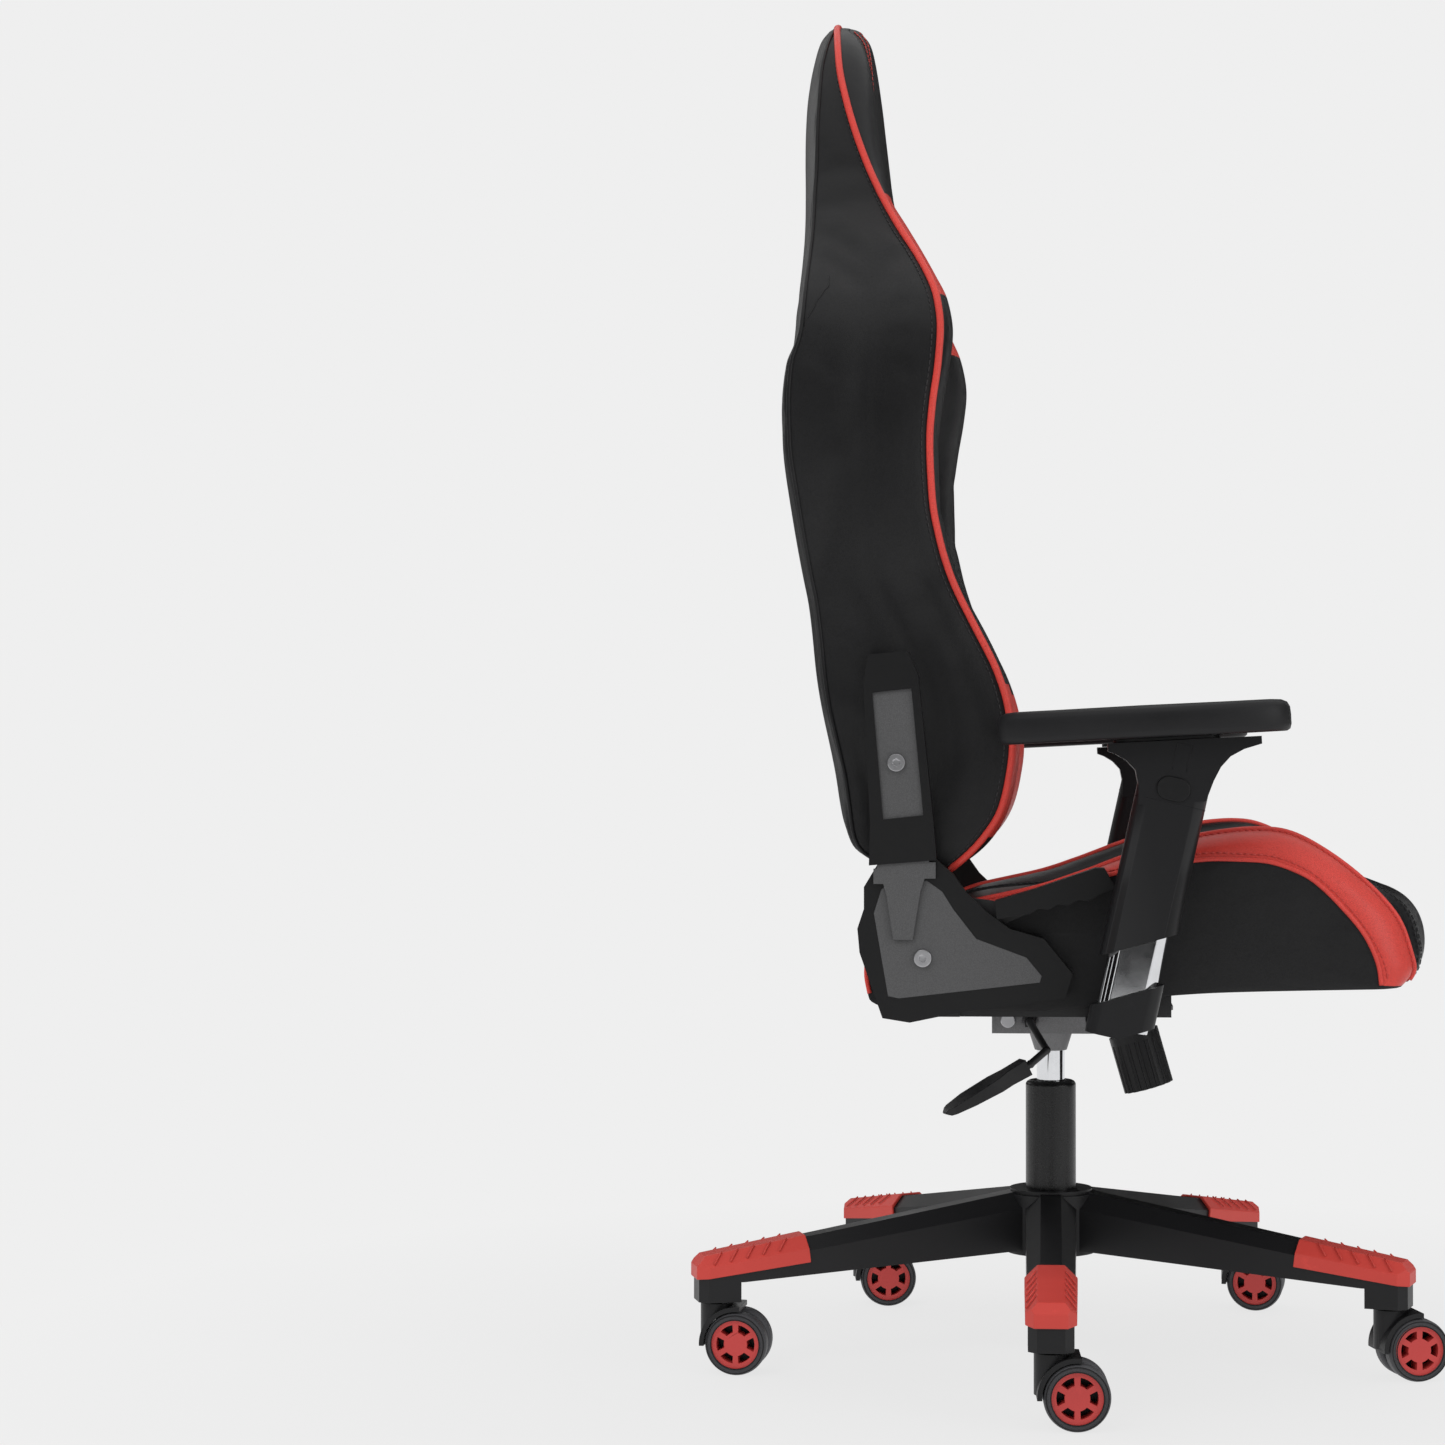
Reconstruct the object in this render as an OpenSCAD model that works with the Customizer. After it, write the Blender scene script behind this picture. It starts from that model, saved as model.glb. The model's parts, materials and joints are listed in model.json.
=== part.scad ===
// Racing-style gaming chair on a five-star caster base, with a gas lift, a rocking
// mechanism, a reclining back and height-adjustable armrests.
// +X is forward, +Y is the sitter's left, +Z is up. The origin is on the floor, on the
// swivel axis. Heights of everything above the gas lift are measured from seat_z.

/* [Overall] */
// Height of the seat frame's underside above the floor, at the lowest setting
seat_z = 354; // [345:1:420]
// Width across the side panels of the seat and of the lower back
seat_w = 486; // [440:1:590]
// Length of the seat ahead of the swivel axis
seat_reach = 364; // [300:1:440]
// Height of the back above the recline axis
back_h = 868; // [720:1:1045]
// Radius of the circle through the caster stems
base_r = 340; // [285:1:410]

/* [Star base] */
// Diameter of the base's hub
hub_d = 90; // [75:1:108]
// Height of the hub's top above the floor
hub_top = 166; // [155:1:175]
// Height of the hub
hub_h = 63; // [53:1:70]
// Width of an arm at its end
arm_w = 41; // [34:1:49]
// Thickness of the trim cap on each arm
cap_t = 2.5; // [2:0.1:3]
// Length of the trim cap on each arm
cap_l = 111; // [92:1:133]

/* [Casters] */
// Diameter of a caster wheel
wheel_d = 60; // [50:1:64]
// Width of a caster wheel
wheel_w = 17; // [14:0.5:20]
// Thickness of the tyre's tread
tread_t = 6.5; // [5:0.1:7.8]
// Distance from the caster stem's axis to the wheel axle
trail = 22; // [19:1:26]
// Diameter of the caster stem
stem_d = 11; // [9:0.5:13]
// Diameter of the caster axle
axle_d = 8; // [6.5:0.5:9.5]
// Thickness of the web between a caster's two wheels
web_t = 9; // [7:0.5:11]

/* [Gas lift] */
// Outer diameter of the column tube
tube_d = 50; // [46:1:60]
// Wall of the column tube
tube_wall = 2; // [1.5:0.1:2.4]
// Height of the column tube's top above the floor
tube_top = 273; // [250:1:280]
// Diameter of the chromed spindle
spindle_d = 28; // [24:1:33]
// Diameter of the piston rod
rod_d = 10; // [8:0.5:12]
// Stroke of the gas lift
stroke = 80; // [60:1:96]

/* [Mechanism] */
// Width of the mechanism housing
housing_w = 76; // [64:1:90]
// Diameter of the tilt pin
tilt_pin_d = 10; // [8:0.5:12]
// Diameter of the tension knob
knob_d = 50; // [42:1:58]
// Length of the tension knob
knob_l = 56; // [47:1:60]
// Forward tilt of the tension knob's lower end
knob_lean = 16; // [10:1:19]

/* [Recliner] */
// Diameter of the shaft that joins the two recliners
cross_d = 10; // [8:0.5:12]
// Diameter of the recliner hub that turns in the seat bracket
hub_pin_d = 24; // [20:0.5:29]
// Thickness of the bracket plates
plate_t = 4; // [3:0.1:5]
// Depth of the plastic bracket covers
cover_t = 12; // [10:0.5:14]
// Width of the back bracket arm
back_arm_w = 37; // [31:1:44]

/* [Armrests] */
// Distance of the armrest posts beyond the seat's side panel
post_gap = 58; // [50:1:70]
// Forward lean of the armrest posts
post_lean = 12.5; // [10:0.5:15]
// Width of the chromed post, front to back
post_w = 50; // [42:1:60]
// Thickness of the chromed post
post_t = 24; // [20:1:29]
// Wall of the armrest sleeve
sleeve_wall = 7; // [5.5:0.5:8]
// Length of the arm pad
pad_l = 259; // [216:1:311]
// Width of the arm pad
pad_w = 92; // [77:1:110]
// Thickness of the arm pad
pad_t = 29; // [24:1:35]
// Upward slope of the arm pad towards the front
pad_slope = 2.9; // [0:0.1:4]

/* [Clearances] */
// Radial clearance of shafts that turn or slide in their bores
run_fit = 0.06; // [0.03:0.01:0.09]
// Clearance of sliding and lifting pieces in their pockets
slide_fit = 0.3; // [0.2:0.05:0.5]
// Gap that is left between soft or covered pieces that move past each other
soft_gap = 1.5; // [1:0.1:2.5]

/* [Hidden] */
SIDED = ["seat_bracket", "bracket_cover", "back_arm", "back_cover", "recliner",
         "arm_mount", "arm_post", "arm_sleeve", "arm_button", "pad_slider", "arm_pad"];
SIDES = ["left", "right"];
CASTER = ["caster_housing", "caster_tyres", "caster_hubs"];
CASTERS = 5;
$fn = 64;
eps = 0.01;

// Star base and casters
hub_z = hub_top - hub_h;
arm_pitch = 360 / CASTERS;
first_arm = -90;
arm_end = base_r + 20;
arm_fall = 9.6;
cap_low = 91;
cap_rise = 14;
cap_slant = 8;
arm_root = hub_d / 2 - 5;
socket_r = arm_w / 2;
wheel_r = wheel_d / 2;
wheel_gap = 1;
tyre_clear = 1;
hood_t = 4.5;
caster_top = wheel_d + 7;
socket_z = caster_top + 2;
stem_l = 25;
caster_turns = [3, 14, -8, 6, -4];

// Gas lift
tube_r = tube_d / 2;
spindle_r = spindle_d / 2;
rod_r = rod_d / 2;
tube_z = 60;
plug_t = 4;
bush_l = 118;
cone_h = 22;
cone_grow = 8;

// Mechanism, with heights from the seat frame's underside
mech_bottom = seat_z - 32;
mech_top = seat_z - 10;
plate_z = seat_z - 4;
mech_back = -58;
mech_front = 100;
mech_wall = 2.5;
tilt_x = -42;
tilt_z = seat_z - 18;
flange_y = housing_w / 2 + 9;
flange_t = 3;
knob_x = 82;
knob_z = mech_bottom - 1.5;
lever_x = -20;
lever_bar = 10;
lever_y = -(flange_y + 17);
lever_z = seat_z - 18;

// Side panels and the layers of bracket outside them
panel_y = seat_w / 2;
handle_t = 4;
handle_y = panel_y + soft_gap;
cover_y = handle_y + handle_t + soft_gap;
plate_y = cover_y + cover_t - plate_t;
arm_y = cover_y + cover_t + 0.5;
shroud_y = arm_y + plate_t + 2.7;
hinge_x = -135;
hinge_z = seat_z + 105;
hub_pin_r = hub_pin_d / 2;
recliner_r = 30;
sweep_r = 53;

// Armrests
post_x = 60;
post_y = panel_y + post_gap;
post_z = seat_z - 12;
post_round = post_t / 2 - 1;
sleeve_w = post_w + 2 * sleeve_wall;
sleeve_t = post_t + 2 * (sleeve_wall - 1);
sleeve_low = 86;
sleeve_l = 166;
post_l = 170;
post_foot = 8;
post_bar_z = seat_z - 6;
button_up = 229;
rest_drop = 35;
rest_x = 119.5;
rest_z = seat_z + 255.5;
rest_l = 137;
pad_pivot = -15;
pad_centre = -35;
slider_t = 3;
slider_l = 96;

// Seat and frame
rail = 22;
rail_y = panel_y - 38;
rail_back = -150;
rail_front = 111;
ear_top = 76;
cushion_z = 23;
bolt_x = -117;
bolt_z = seat_z + 56;
back_bolt_x = -6;
back_bolt_z = 130;
skirt_drop = 6;

function stretched(v, start, ratio) = v <= start ? v : start + (v - start) * ratio;
function seat_x(x) = stretched(x, 0, seat_reach / 364);
function back_z(z) = stretched(z, 150, (back_h - 150) / 718);

// Draws on the left as given, or mirrored to the right
module on_side(side) {
    mirror([0, side == "right" ? 1 : 0, 0]) children();
}

// Turns an outline in X and Z into a plate from y_low to y_high
module plate_xz(y_low, y_high) {
    translate([0, y_high, 0]) rotate([90, 0, 0]) linear_extrude(y_high - y_low) children();
}

// A round bar along Y
module rod_y(x, z, r, y_low, y_high) {
    translate([x, y_low, z]) rotate([-90, 0, 0]) cylinder(r = r, h = y_high - y_low);
}

// A round bar from one point to another
module bar(a, b, r) {
    d = b - a;
    flat = norm([d.x, d.y]);
    translate(a) rotate([0, atan2(flat, d.z), atan2(d.y, d.x)]) cylinder(r = r, h = norm(d));
}

// A flat outline with straight sides and round ends
module slot_2d(length, width) {
    square([length - width, width], center = true);
    for (end = [-1, 1]) translate([end * (length - width) / 2, 0]) circle(d = width);
}

// A rectangle with round corners
module round_box_2d(length, width, r) {
    square([length - 2 * r, width], center = true);
    square([length, width - 2 * r], center = true);
    for (x = [-1, 1], y = [-1, 1])
        translate([x * (length / 2 - r), y * (width / 2 - r)]) circle(r = r);
}

// ---- Star base ----

function arm_angle(i) = first_arm + (i - 1) * arm_pitch;

// One arm along +X, with each face moved out by grow
module base_arm(grow) {
    top_end = hub_top - (arm_end - arm_root) * tan(arm_fall);
    half = arm_w / 2 + grow;
    flat = 10;
    intersection() {
        plate_xz(-half - 10, half + 10) polygon([
            [0, hub_z + 4],
            [arm_root + 10, hub_z + 4],
            [base_r - 24, 88],
            [base_r - 20, 88],
            [base_r - 20, socket_z],
            [arm_end + grow, socket_z],
            [arm_end + grow, top_end - 8],
            [arm_end - 6, top_end + grow],
            [arm_root, hub_top - 2 + grow],
            [0, hub_top - 2 + grow]
        ]);
        linear_extrude(hub_top + 10) polygon([
            [0, -half - 5],
            [arm_end - 8, -half],
            [arm_end + grow, -half + 8],
            [arm_end + grow, half - 8],
            [arm_end - 8, half],
            [0, half + 5]
        ]);
        translate([arm_root, 0, hub_top - 2 + grow]) rotate([0, arm_fall, 0])
            translate([-60, 0, 0]) rotate([90, 0, 90]) linear_extrude(arm_end + 60) polygon([
                [-flat - grow, 0],
                [-half - 8, -half - 8 + flat + grow],
                [-half - 8, -hub_top],
                [half + 8, -hub_top],
                [half + 8, -half - 8 + flat + grow],
                [flat + grow, 0]
            ]);
    }
}

module star_base() {
    color("#1c1c1e") difference() {
        union() {
            translate([0, 0, hub_z]) cylinder(d = hub_d, h = hub_h - 4);
            translate([0, 0, hub_top - 4]) cylinder(d = hub_d - 8, h = 4);
            for (i = [1 : CASTERS]) rotate(arm_angle(i)) base_arm(0);
        }
        translate([0, 0, hub_z - 20]) cylinder(r = tube_r, h = hub_h + 40);
        for (i = [1 : CASTERS]) rotate(arm_angle(i)) translate([base_r, 0, socket_z - 10])
            cylinder(r = stem_d / 2 + run_fit, h = stem_l + 12);
    }
}

module arm_caps() {
    color("#d8413a") for (i = [1 : CASTERS]) rotate(arm_angle(i)) difference() {
        intersection() {
            base_arm(cap_t);
            plate_xz(-arm_w, arm_w) polygon([
                [arm_end + cap_t, cap_low],
                [arm_end + cap_t, hub_top],
                [arm_end + cap_t - cap_l + cap_slant, hub_top],
                [arm_end + cap_t - cap_l, cap_low + cap_rise]
            ]);
        }
        base_arm(0);
    }
}

// ---- Casters ----

// Places a caster's own frame: stem on its Z axis, wheel trailing along +X
module at_caster(i) {
    rotate(arm_angle(i)) translate([base_r, 0, 0]) rotate(caster_turns[i - 1] - arm_angle(i))
        children();
}

// The quarter of the wheel that the hood covers, as an outline in X and Z
module hood_2d() {
    difference() {
        circle(r = wheel_r + tyre_clear + hood_t);
        circle(r = wheel_r + tyre_clear);
        translate([-2 * wheel_r, -2 * wheel_r - 2]) square([4 * wheel_r, 2 * wheel_r]);
        translate([4, -wheel_r]) square([2 * wheel_r, 3 * wheel_r]);
    }
}

module caster_housing(i) {
    half = web_t / 2 + wheel_gap + wheel_w;
    color("#1c1c1e") at_caster(i) {
        difference() {
            union() {
                intersection() {
                    difference() {
                        union() {
                            translate([0, 0, wheel_r]) cylinder(r = socket_r - 5, h = caster_top - wheel_r);
                            translate([trail, 0, wheel_r]) plate_xz(-half, half) hood_2d();
                        }
                        rod_y(trail, wheel_r, wheel_r + tyre_clear, -2 * half, 2 * half);
                    }
                    translate([-2 * wheel_r, -2 * wheel_r, 0]) cube([4 * wheel_r, 4 * wheel_r, caster_top]);
                }
                rod_y(trail, wheel_r, wheel_r - tread_t, -web_t / 2, web_t / 2);
                translate([0, -web_t / 2, wheel_r]) cube([trail, web_t, wheel_r]);
                translate([0, 0, caster_top - 8]) cylinder(d = stem_d, h = stem_l + 8);
            }
            rod_y(trail, wheel_r, axle_d / 2 + run_fit, -web_t, web_t);
        }
    }
}

module caster_tyres(i) {
    color("#3b3b3e") at_caster(i) for (y = [-1, 1])
        translate([trail, y * (web_t / 2 + wheel_gap + wheel_w / 2), wheel_r]) rotate([90, 0, 0])
            rotate_extrude() translate([wheel_r - tread_t, 0]) polygon([
                [0, -wheel_w / 2],
                [tread_t - 2, -wheel_w / 2],
                [tread_t, -wheel_w / 2 + 3],
                [tread_t, wheel_w / 2 - 3],
                [tread_t - 2, wheel_w / 2],
                [0, wheel_w / 2]
            ]);
}

// One window of the wheel's face, as an outline
module wheel_window_2d() {
    inner = 0.38 * wheel_r;
    outer = 0.62 * wheel_r;
    polygon([
        for (a = [-17 : 8.5 : 17]) [inner * cos(a), inner * sin(a)],
        for (a = [21 : -10.5 : -21]) [outer * cos(a), outer * sin(a)]
    ]);
}

module caster_hubs(i) {
    rim_r = wheel_r - tread_t;
    hub_w = wheel_w - 2;
    windows = 6;
    color("#d8413a") at_caster(i) translate([trail, 0, wheel_r]) rotate([90, 0, 0]) {
        for (y = [-1, 1]) translate([0, 0, y * (web_t / 2 + wheel_gap + wheel_w / 2)])
            linear_extrude(hub_w, center = true) difference() {
                circle(r = rim_r);
                for (k = [1 : windows]) rotate(360 * k / windows) wheel_window_2d();
            }
        cylinder(d = axle_d, h = web_t + 2 * wheel_gap + 2 * hub_w, center = true);
    }
}

// ---- Gas lift ----

module gas_tube() {
    edge = 5;
    color("#202022") rotate_extrude() difference() {
        union() {
            translate([0, tube_z]) square([tube_r, tube_top - edge - tube_z]);
            translate([0, tube_top - edge - eps]) square([tube_r - edge, edge + eps]);
            intersection() {
                translate([tube_r - edge, tube_top - edge]) circle(r = edge);
                translate([0, tube_top - edge]) square([tube_r, edge]);
            }
        }
        translate([-1, tube_z + plug_t]) square([tube_r - tube_wall + 1, tube_top - tube_z - plug_t - 6]);
        translate([-1, tube_z - 1]) square([rod_r + run_fit + 1, plug_t + 2]);
        translate([-1, tube_top - 8]) square([spindle_r + 1.5, 10]);
    }
}

module gas_bush() {
    color("#d8d4c8") translate([0, 0, tube_top - 6 - bush_l]) difference() {
        cylinder(r = tube_r - tube_wall, h = bush_l);
        translate([0, 0, -1]) cylinder(r = spindle_r + run_fit, h = bush_l + 2);
    }
}

module gas_rod() {
    washer_z = tube_z + plug_t + 0.2;
    color("silver") {
        translate([0, 0, tube_z - 4]) cylinder(r = rod_r, h = 150);
        translate([0, 0, washer_z]) cylinder(r = rod_r + 8, h = 5);
        translate([0, 0, tube_z - 3.7]) cylinder(r = rod_r + 4, h = 3.5);
    }
}

module gas_spindle() {
    color("#c9ccd1") difference() {
        translate([0, 0, tube_z + 24]) cylinder(r = spindle_r, h = mech_bottom + 4 - tube_z - 24);
        translate([0, 0, tube_z]) cylinder(r = rod_r + run_fit, h = 170 + stroke / 2);
    }
}

// ---- Mechanism ----

module at_knob() {
    translate([knob_x, 0, knob_z]) rotate([0, -knob_lean, 0]) children();
}

module mech_housing() {
    half = housing_w / 2;
    rise = (mech_front - knob_x - 5) * tan(knob_lean);
    color("#3a3a3c") difference() {
        union() {
            difference() {
                plate_xz(-half, half) polygon([
                    [mech_back, mech_bottom],
                    [knob_x + 5, mech_bottom],
                    [mech_front, mech_bottom + rise],
                    [mech_front, mech_top],
                    [mech_back, mech_top]
                ]);
                plate_xz(-half + mech_wall, half - mech_wall) polygon([
                    [mech_back + mech_wall, mech_bottom + mech_wall],
                    [knob_x + 5, mech_bottom + mech_wall],
                    [mech_front - mech_wall, mech_bottom + rise + mech_wall],
                    [mech_front - mech_wall, mech_top + 1],
                    [mech_back + mech_wall, mech_top + 1]
                ]);
            }
            translate([0, 0, mech_bottom - cone_h + 3])
                cylinder(r1 = spindle_r + 2, r2 = spindle_r + cone_grow, h = cone_h - 3 + eps);
            translate([0, 0, mech_bottom - cone_h + 3]) cylinder(r = spindle_r + 2, h = cone_h + 4);
        }
        translate([0, 0, mech_bottom - cone_h - 1]) cylinder(r = spindle_r, h = cone_h + 10);
        rod_y(tilt_x, tilt_z, tilt_pin_d / 2, -housing_w, housing_w);
        at_knob() cylinder(r = 5 + run_fit, h = 40, center = true);
        translate([lever_x - lever_bar / 2 - slide_fit, -half - 1, lever_z - lever_bar / 2 - slide_fit])
            cube([lever_bar + 2 * slide_fit, mech_wall + 2, lever_bar + 2 * slide_fit]);
    }
}

module tilt_pin() {
    reach = flange_y + flange_t + 3;
    color("silver") {
        rod_y(tilt_x, tilt_z, tilt_pin_d / 2, -reach, reach);
        for (y = [-1, 1]) rod_y(tilt_x, tilt_z, tilt_pin_d / 2 + 2, y * (reach + 1) - 1, y * (reach + 1) + 1);
    }
}

// Points of one ring of the spring's wire, at turn t around the tilt pin
function coil_ring(t, coil_r, wire_r, pitch, sides) = [
    for (k = [0 : sides - 1])
        let (a = 360 * t, b = 360 * k / sides, r = coil_r + wire_r * cos(b))
        [tilt_x + r * cos(a), pitch * t + wire_r * sin(b), tilt_z + r * sin(a)]
];

module tilt_spring() {
    turns = 6;
    sides = 6;
    per_turn = 12;
    steps = per_turn * turns;
    wire_r = 1.25;
    coil_r = tilt_pin_d / 2 + wire_r + 0.8;
    pitch = 4;
    points = [for (s = [0 : steps]) each coil_ring(s / per_turn, coil_r, wire_r, pitch, sides)];
    faces = concat(
        [[for (k = [0 : sides - 1]) k]],
        [for (s = [0 : steps - 1]) for (k = [0 : sides - 1])
            let (a = s * sides + k, b = s * sides + (k + 1) % sides) [a, a + sides, b + sides, b]],
        [[for (k = [sides - 1 : -1 : 0]) steps * sides + k]]
    );
    color("gray") translate([0, -pitch * turns / 2, 0]) polyhedron(points, faces);
}

module tension_knob() {
    flutes = 16;
    color("#1c1c1e") at_knob() {
        difference() {
            translate([0, 0, -knob_l]) cylinder(d = knob_d, h = knob_l);
            for (k = [1 : flutes]) rotate(360 * k / flutes) translate([knob_d / 2 + 1, 0, -knob_l - 1])
                cylinder(r = 2.5, h = knob_l - 7);
        }
        translate([0, 0, -eps]) cylinder(r = 5, h = 19);
    }
}

module lever_slider() {
    ear_y = lever_y + 9;
    color("#2a2a2c") {
        translate([lever_x - lever_bar / 2, ear_y, lever_z - lever_bar / 2])
            cube([lever_bar, -ear_y - housing_w / 2 + 18, lever_bar]);
        difference() {
            translate([lever_x - lever_bar / 2, lever_y - 6, lever_z - lever_bar / 2])
                cube([lever_bar, 16, lever_bar]);
            translate([lever_x - 2.2, lever_y - 7, lever_z - lever_bar]) cube([4.4, 15.5, 2 * lever_bar]);
        }
        translate([lever_x - lever_bar / 2, lever_y, lever_z]) rotate([0, 90, 0]) cylinder(r = 1.8, h = lever_bar);
    }
}

// Corners of the lever: end of the outward run, start of the paddle, tip
lever_bend = [lever_x + 16, lever_y - 106, lever_z - 18];
lever_grip = [lever_x + 1, lever_y - 117, lever_z - 30];
lever_tip = [lever_x - 79, lever_y - 150, lever_z - 73];
lever_r = 3.6;
joint_r = 4;
paddle_hold = 14;

// Places the paddle's own frame: X runs from the grip's start to its tip
module at_paddle() {
    d = lever_tip - lever_grip;
    translate(lever_grip) rotate([0, -atan2(d.z, norm([d.x, d.y])), atan2(d.y, d.x)]) children();
}

module lever_rod() {
    start = [lever_x, lever_y - 13, lever_z];
    color("#1c1c1e") difference() {
        union() {
            translate([lever_x - 1.9, lever_y, lever_z]) rotate([0, 90, 0]) cylinder(r = 4.6, h = 3.8);
            translate([lever_x - 1.9, lever_y - 12, lever_z - 2.5]) cube([3.8, 12, 5]);
            translate(start) sphere(r = joint_r);
            bar(start, lever_bend, lever_r);
            translate(lever_bend) sphere(r = joint_r);
            bar(lever_bend, lever_grip, lever_r);
            translate(lever_grip) sphere(r = joint_r);
            at_paddle() rotate([0, 90, 0]) cylinder(r = lever_r, h = paddle_hold);
        }
        translate([lever_x - 5, lever_y, lever_z]) rotate([0, 90, 0]) cylinder(r = 1.8 + run_fit, h = 10);
    }
}

module lever_paddle() {
    length = norm(lever_tip - lever_grip);
    color("#1c1c1e") at_paddle() difference() {
        intersection() {
            linear_extrude(20, center = true) polygon([
                [joint_r + 1, -8], [26, -9], [40, -14], [70, -15], [length - 8, -11], [length, -4],
                [length, 4], [length - 8, 11], [70, 15], [40, 14], [26, 9], [joint_r + 1, 8]
            ]);
            plate_xz(-20, 20) polygon([
                [joint_r + 1, -8], [30, -7], [70, -5], [length - 4, -4], [length + 1, 0],
                [length - 4, 3], [70, 5], [30, 7], [joint_r + 1, 8]
            ]);
        }
        rotate([0, 90, 0]) cylinder(r = lever_r, h = paddle_hold);
    }
}

module tilt_plate() {
    color("#58585a") difference() {
        union() {
            translate([-105, -90, plate_z]) cube([223, 180, 4]);
            for (y = [-flange_y - flange_t, flange_y]) plate_xz(y, y + flange_t) polygon([
                [tilt_x - 13, plate_z],
                [tilt_x - 11, tilt_z],
                [tilt_x - 6, tilt_z - 9],
                [60, tilt_z - 9],
                [72, plate_z]
            ]);
        }
        rod_y(tilt_x, tilt_z, tilt_pin_d / 2 + run_fit, -housing_w, housing_w);
        for (p = seat_bolt_places()) translate([p.x, p.y, plate_z - 1]) cylinder(d = 8, h = 6);
        translate([lever_x - lever_bar / 2 - 3, -flange_y - flange_t - 1, tilt_z - 10])
            cube([lever_bar + 6, flange_t + 2, 10 + lever_bar / 2 + 2]);
    }
}

// ---- Seat ----

module seat_frame() {
    color("#2a2a2c") difference() {
        union() {
            for (y = [-rail_y - rail, rail_y]) translate([rail_back, y, seat_z])
                cube([seat_x(rail_front) - rail_back, rail, rail]);
            for (x = [rail_back, -101, seat_x(rail_front) - rail])
                translate([x, -rail_y - 1, seat_z]) cube([rail, 2 * rail_y + 2, rail]);
            for (y = [-1, 1]) translate([rail_back, y * (rail_y + rail) - (y < 0 ? 4 : 0), seat_z])
                cube([66, 4, ear_top]);
        }
        for (p = seat_bolt_places()) translate([p.x, p.y, seat_z - 1]) cylinder(d = 8, h = rail / 2 + 1);
        for (y = [-1, 1]) rod_y(bolt_x, bolt_z, 4, y * (rail_y + rail + 2) - 3, y * (rail_y + rail + 2) + 3);
    }
}

// Places of the bolts that hold the tilt plate and the arm mounts, on the frame's underside
function seat_bolt_places() = concat(
    [for (x = [-90, 100], y = [-75, 75]) [x, y]],
    [for (x = [45, 81], y = [-1, 1]) [x, y * (rail_y + rail / 2)]]
);

// Outline of the raised side bolsters, in X and height above the frame's underside
function bolster_outline() = [
    [-174, 36], [-174, 50], [-165, 66], [-146, 80], [-110, 90], [-79, 104], [-13, 117], [41, 136],
    [72, 148], [110, 160], [150, 169], [190, 173], [222, 169], [257, 150], [291, 123], [319, 91],
    [331, 58], [318, 31], [290, 28], [150, cushion_z], [35, 9], [-40, skirt_drop],
    [-150, skirt_drop], [-166, 12]
];

// Outline of the flat middle with its rounded front edge
function middle_outline() = [
    [-168, cushion_z], [-174, 36], [-174, 50], [-165, 66], [-146, 80], [-120, 87], [-80, 100],
    [0, 108], [200, 114], [310, 120], [340, 117], [357, 104], [364, 78], [362, 48], [350, 31],
    [325, cushion_z]
];

module seat_outline(points) {
    polygon([for (p = points) [seat_x(p.x), seat_z + p.y]]);
}

module seat_cushion() {
    middle = panel_y - 78;
    nose = panel_y - 38;
    color("#2b2b2e") difference() {
        intersection() {
            union() {
                plate_xz(-middle, middle) seat_outline(middle_outline());
                for (y = [-panel_y, middle - eps]) plate_xz(y, y + panel_y - middle + eps)
                    seat_outline(bolster_outline());
                intersection() {
                    plate_xz(-nose, nose) seat_outline(middle_outline());
                    translate([seat_x(290), -nose, seat_z]) cube([200, 2 * nose, 200]);
                }
            }
            translate([0, 0, seat_z]) linear_extrude(300) polygon([
                for (s = [[-1, 1], [1, 1]]) each [for (p = s[0] < 0 ? seat_plan() : reversed(seat_plan()))
                    [seat_x(p.x), s[0] * (panel_y + p.y)]]
            ]);
        }
        translate([-200, -rail_y - rail - 2, seat_z - 1]) cube([500, 2 * (rail_y + rail + 2), cushion_z + 1]);
        for (y = [-1, 1]) translate([rail_back - 0.5, y * (rail_y + rail + 2) - 2.5, seat_z])
            cube([67, 5, ear_top + 0.5]);
        for (y = [-1, 1]) rod_y(bolt_x, bolt_z, 5, y * (panel_y - 8) - 10, y * (panel_y - 8) + 10);
    }
}

// Plan of the seat's edge: X, and how far the edge stands in from the side panel
function seat_plan() = [
    [-174, -45], [-160, -14], [-135, 0], [280, 0], [318, -16], [348, -52], [364, -120]
];
function reversed(list) = [for (i = [len(list) - 1 : -1 : 0]) list[i]];

// A socket-head bolt along Y, with its head's underside at face_y
module side_bolt(x, z, tip_y, face_y) {
    head_t = 4;
    difference() {
        union() {
            rod_y(x, z, 4, tip_y, face_y + 1);
            rod_y(x, z, 8, face_y, face_y + head_t);
        }
        translate([x, face_y + head_t + 1, z]) rotate([90, 30, 0]) cylinder(r = 3.5, h = 3.5, $fn = 6);
    }
}

module seat_bolts() {
    color("silver") {
        for (p = seat_bolt_places()) {
            low = abs(p.y) > 100 ? post_bar_z - 5 : plate_z - 5;
            translate([p.x, p.y, low]) cylinder(r = 6.5, h = 5);
            translate([p.x, p.y, low]) cylinder(d = 8, h = seat_z + rail / 2 - low);
        }
        for (y = [-1, 1]) mirror([0, y < 0 ? 1 : 0, 0])
            side_bolt(bolt_x, bolt_z, rail_y + rail - 1, cover_y + cover_t);
    }
}

// ---- Brackets and recliners ----

// Outline of the seat bracket's plate, about the recline axis
function bracket_outline() = [
    [-20, 14], [-27, -8], [-14, -84], [-4, -86], [125, -71], [127, -65], [113, -48], [67, -31],
    [46, -4], [36, 12], [22, 22], [-10, 22]
];

// Outline of the plastic cover behind the plate
function cover_outline() = [
    [-36, -4], [-42, -22], [-40, -44], [-19, -104], [6, -108], [54, -98], [148, -85], [155, -63],
    [129, -31], [98, -22], [75, -5], [58, 11], [46, 28], [30, 42], [0, 48], [-24, 36], [-36, 16]
];

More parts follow.
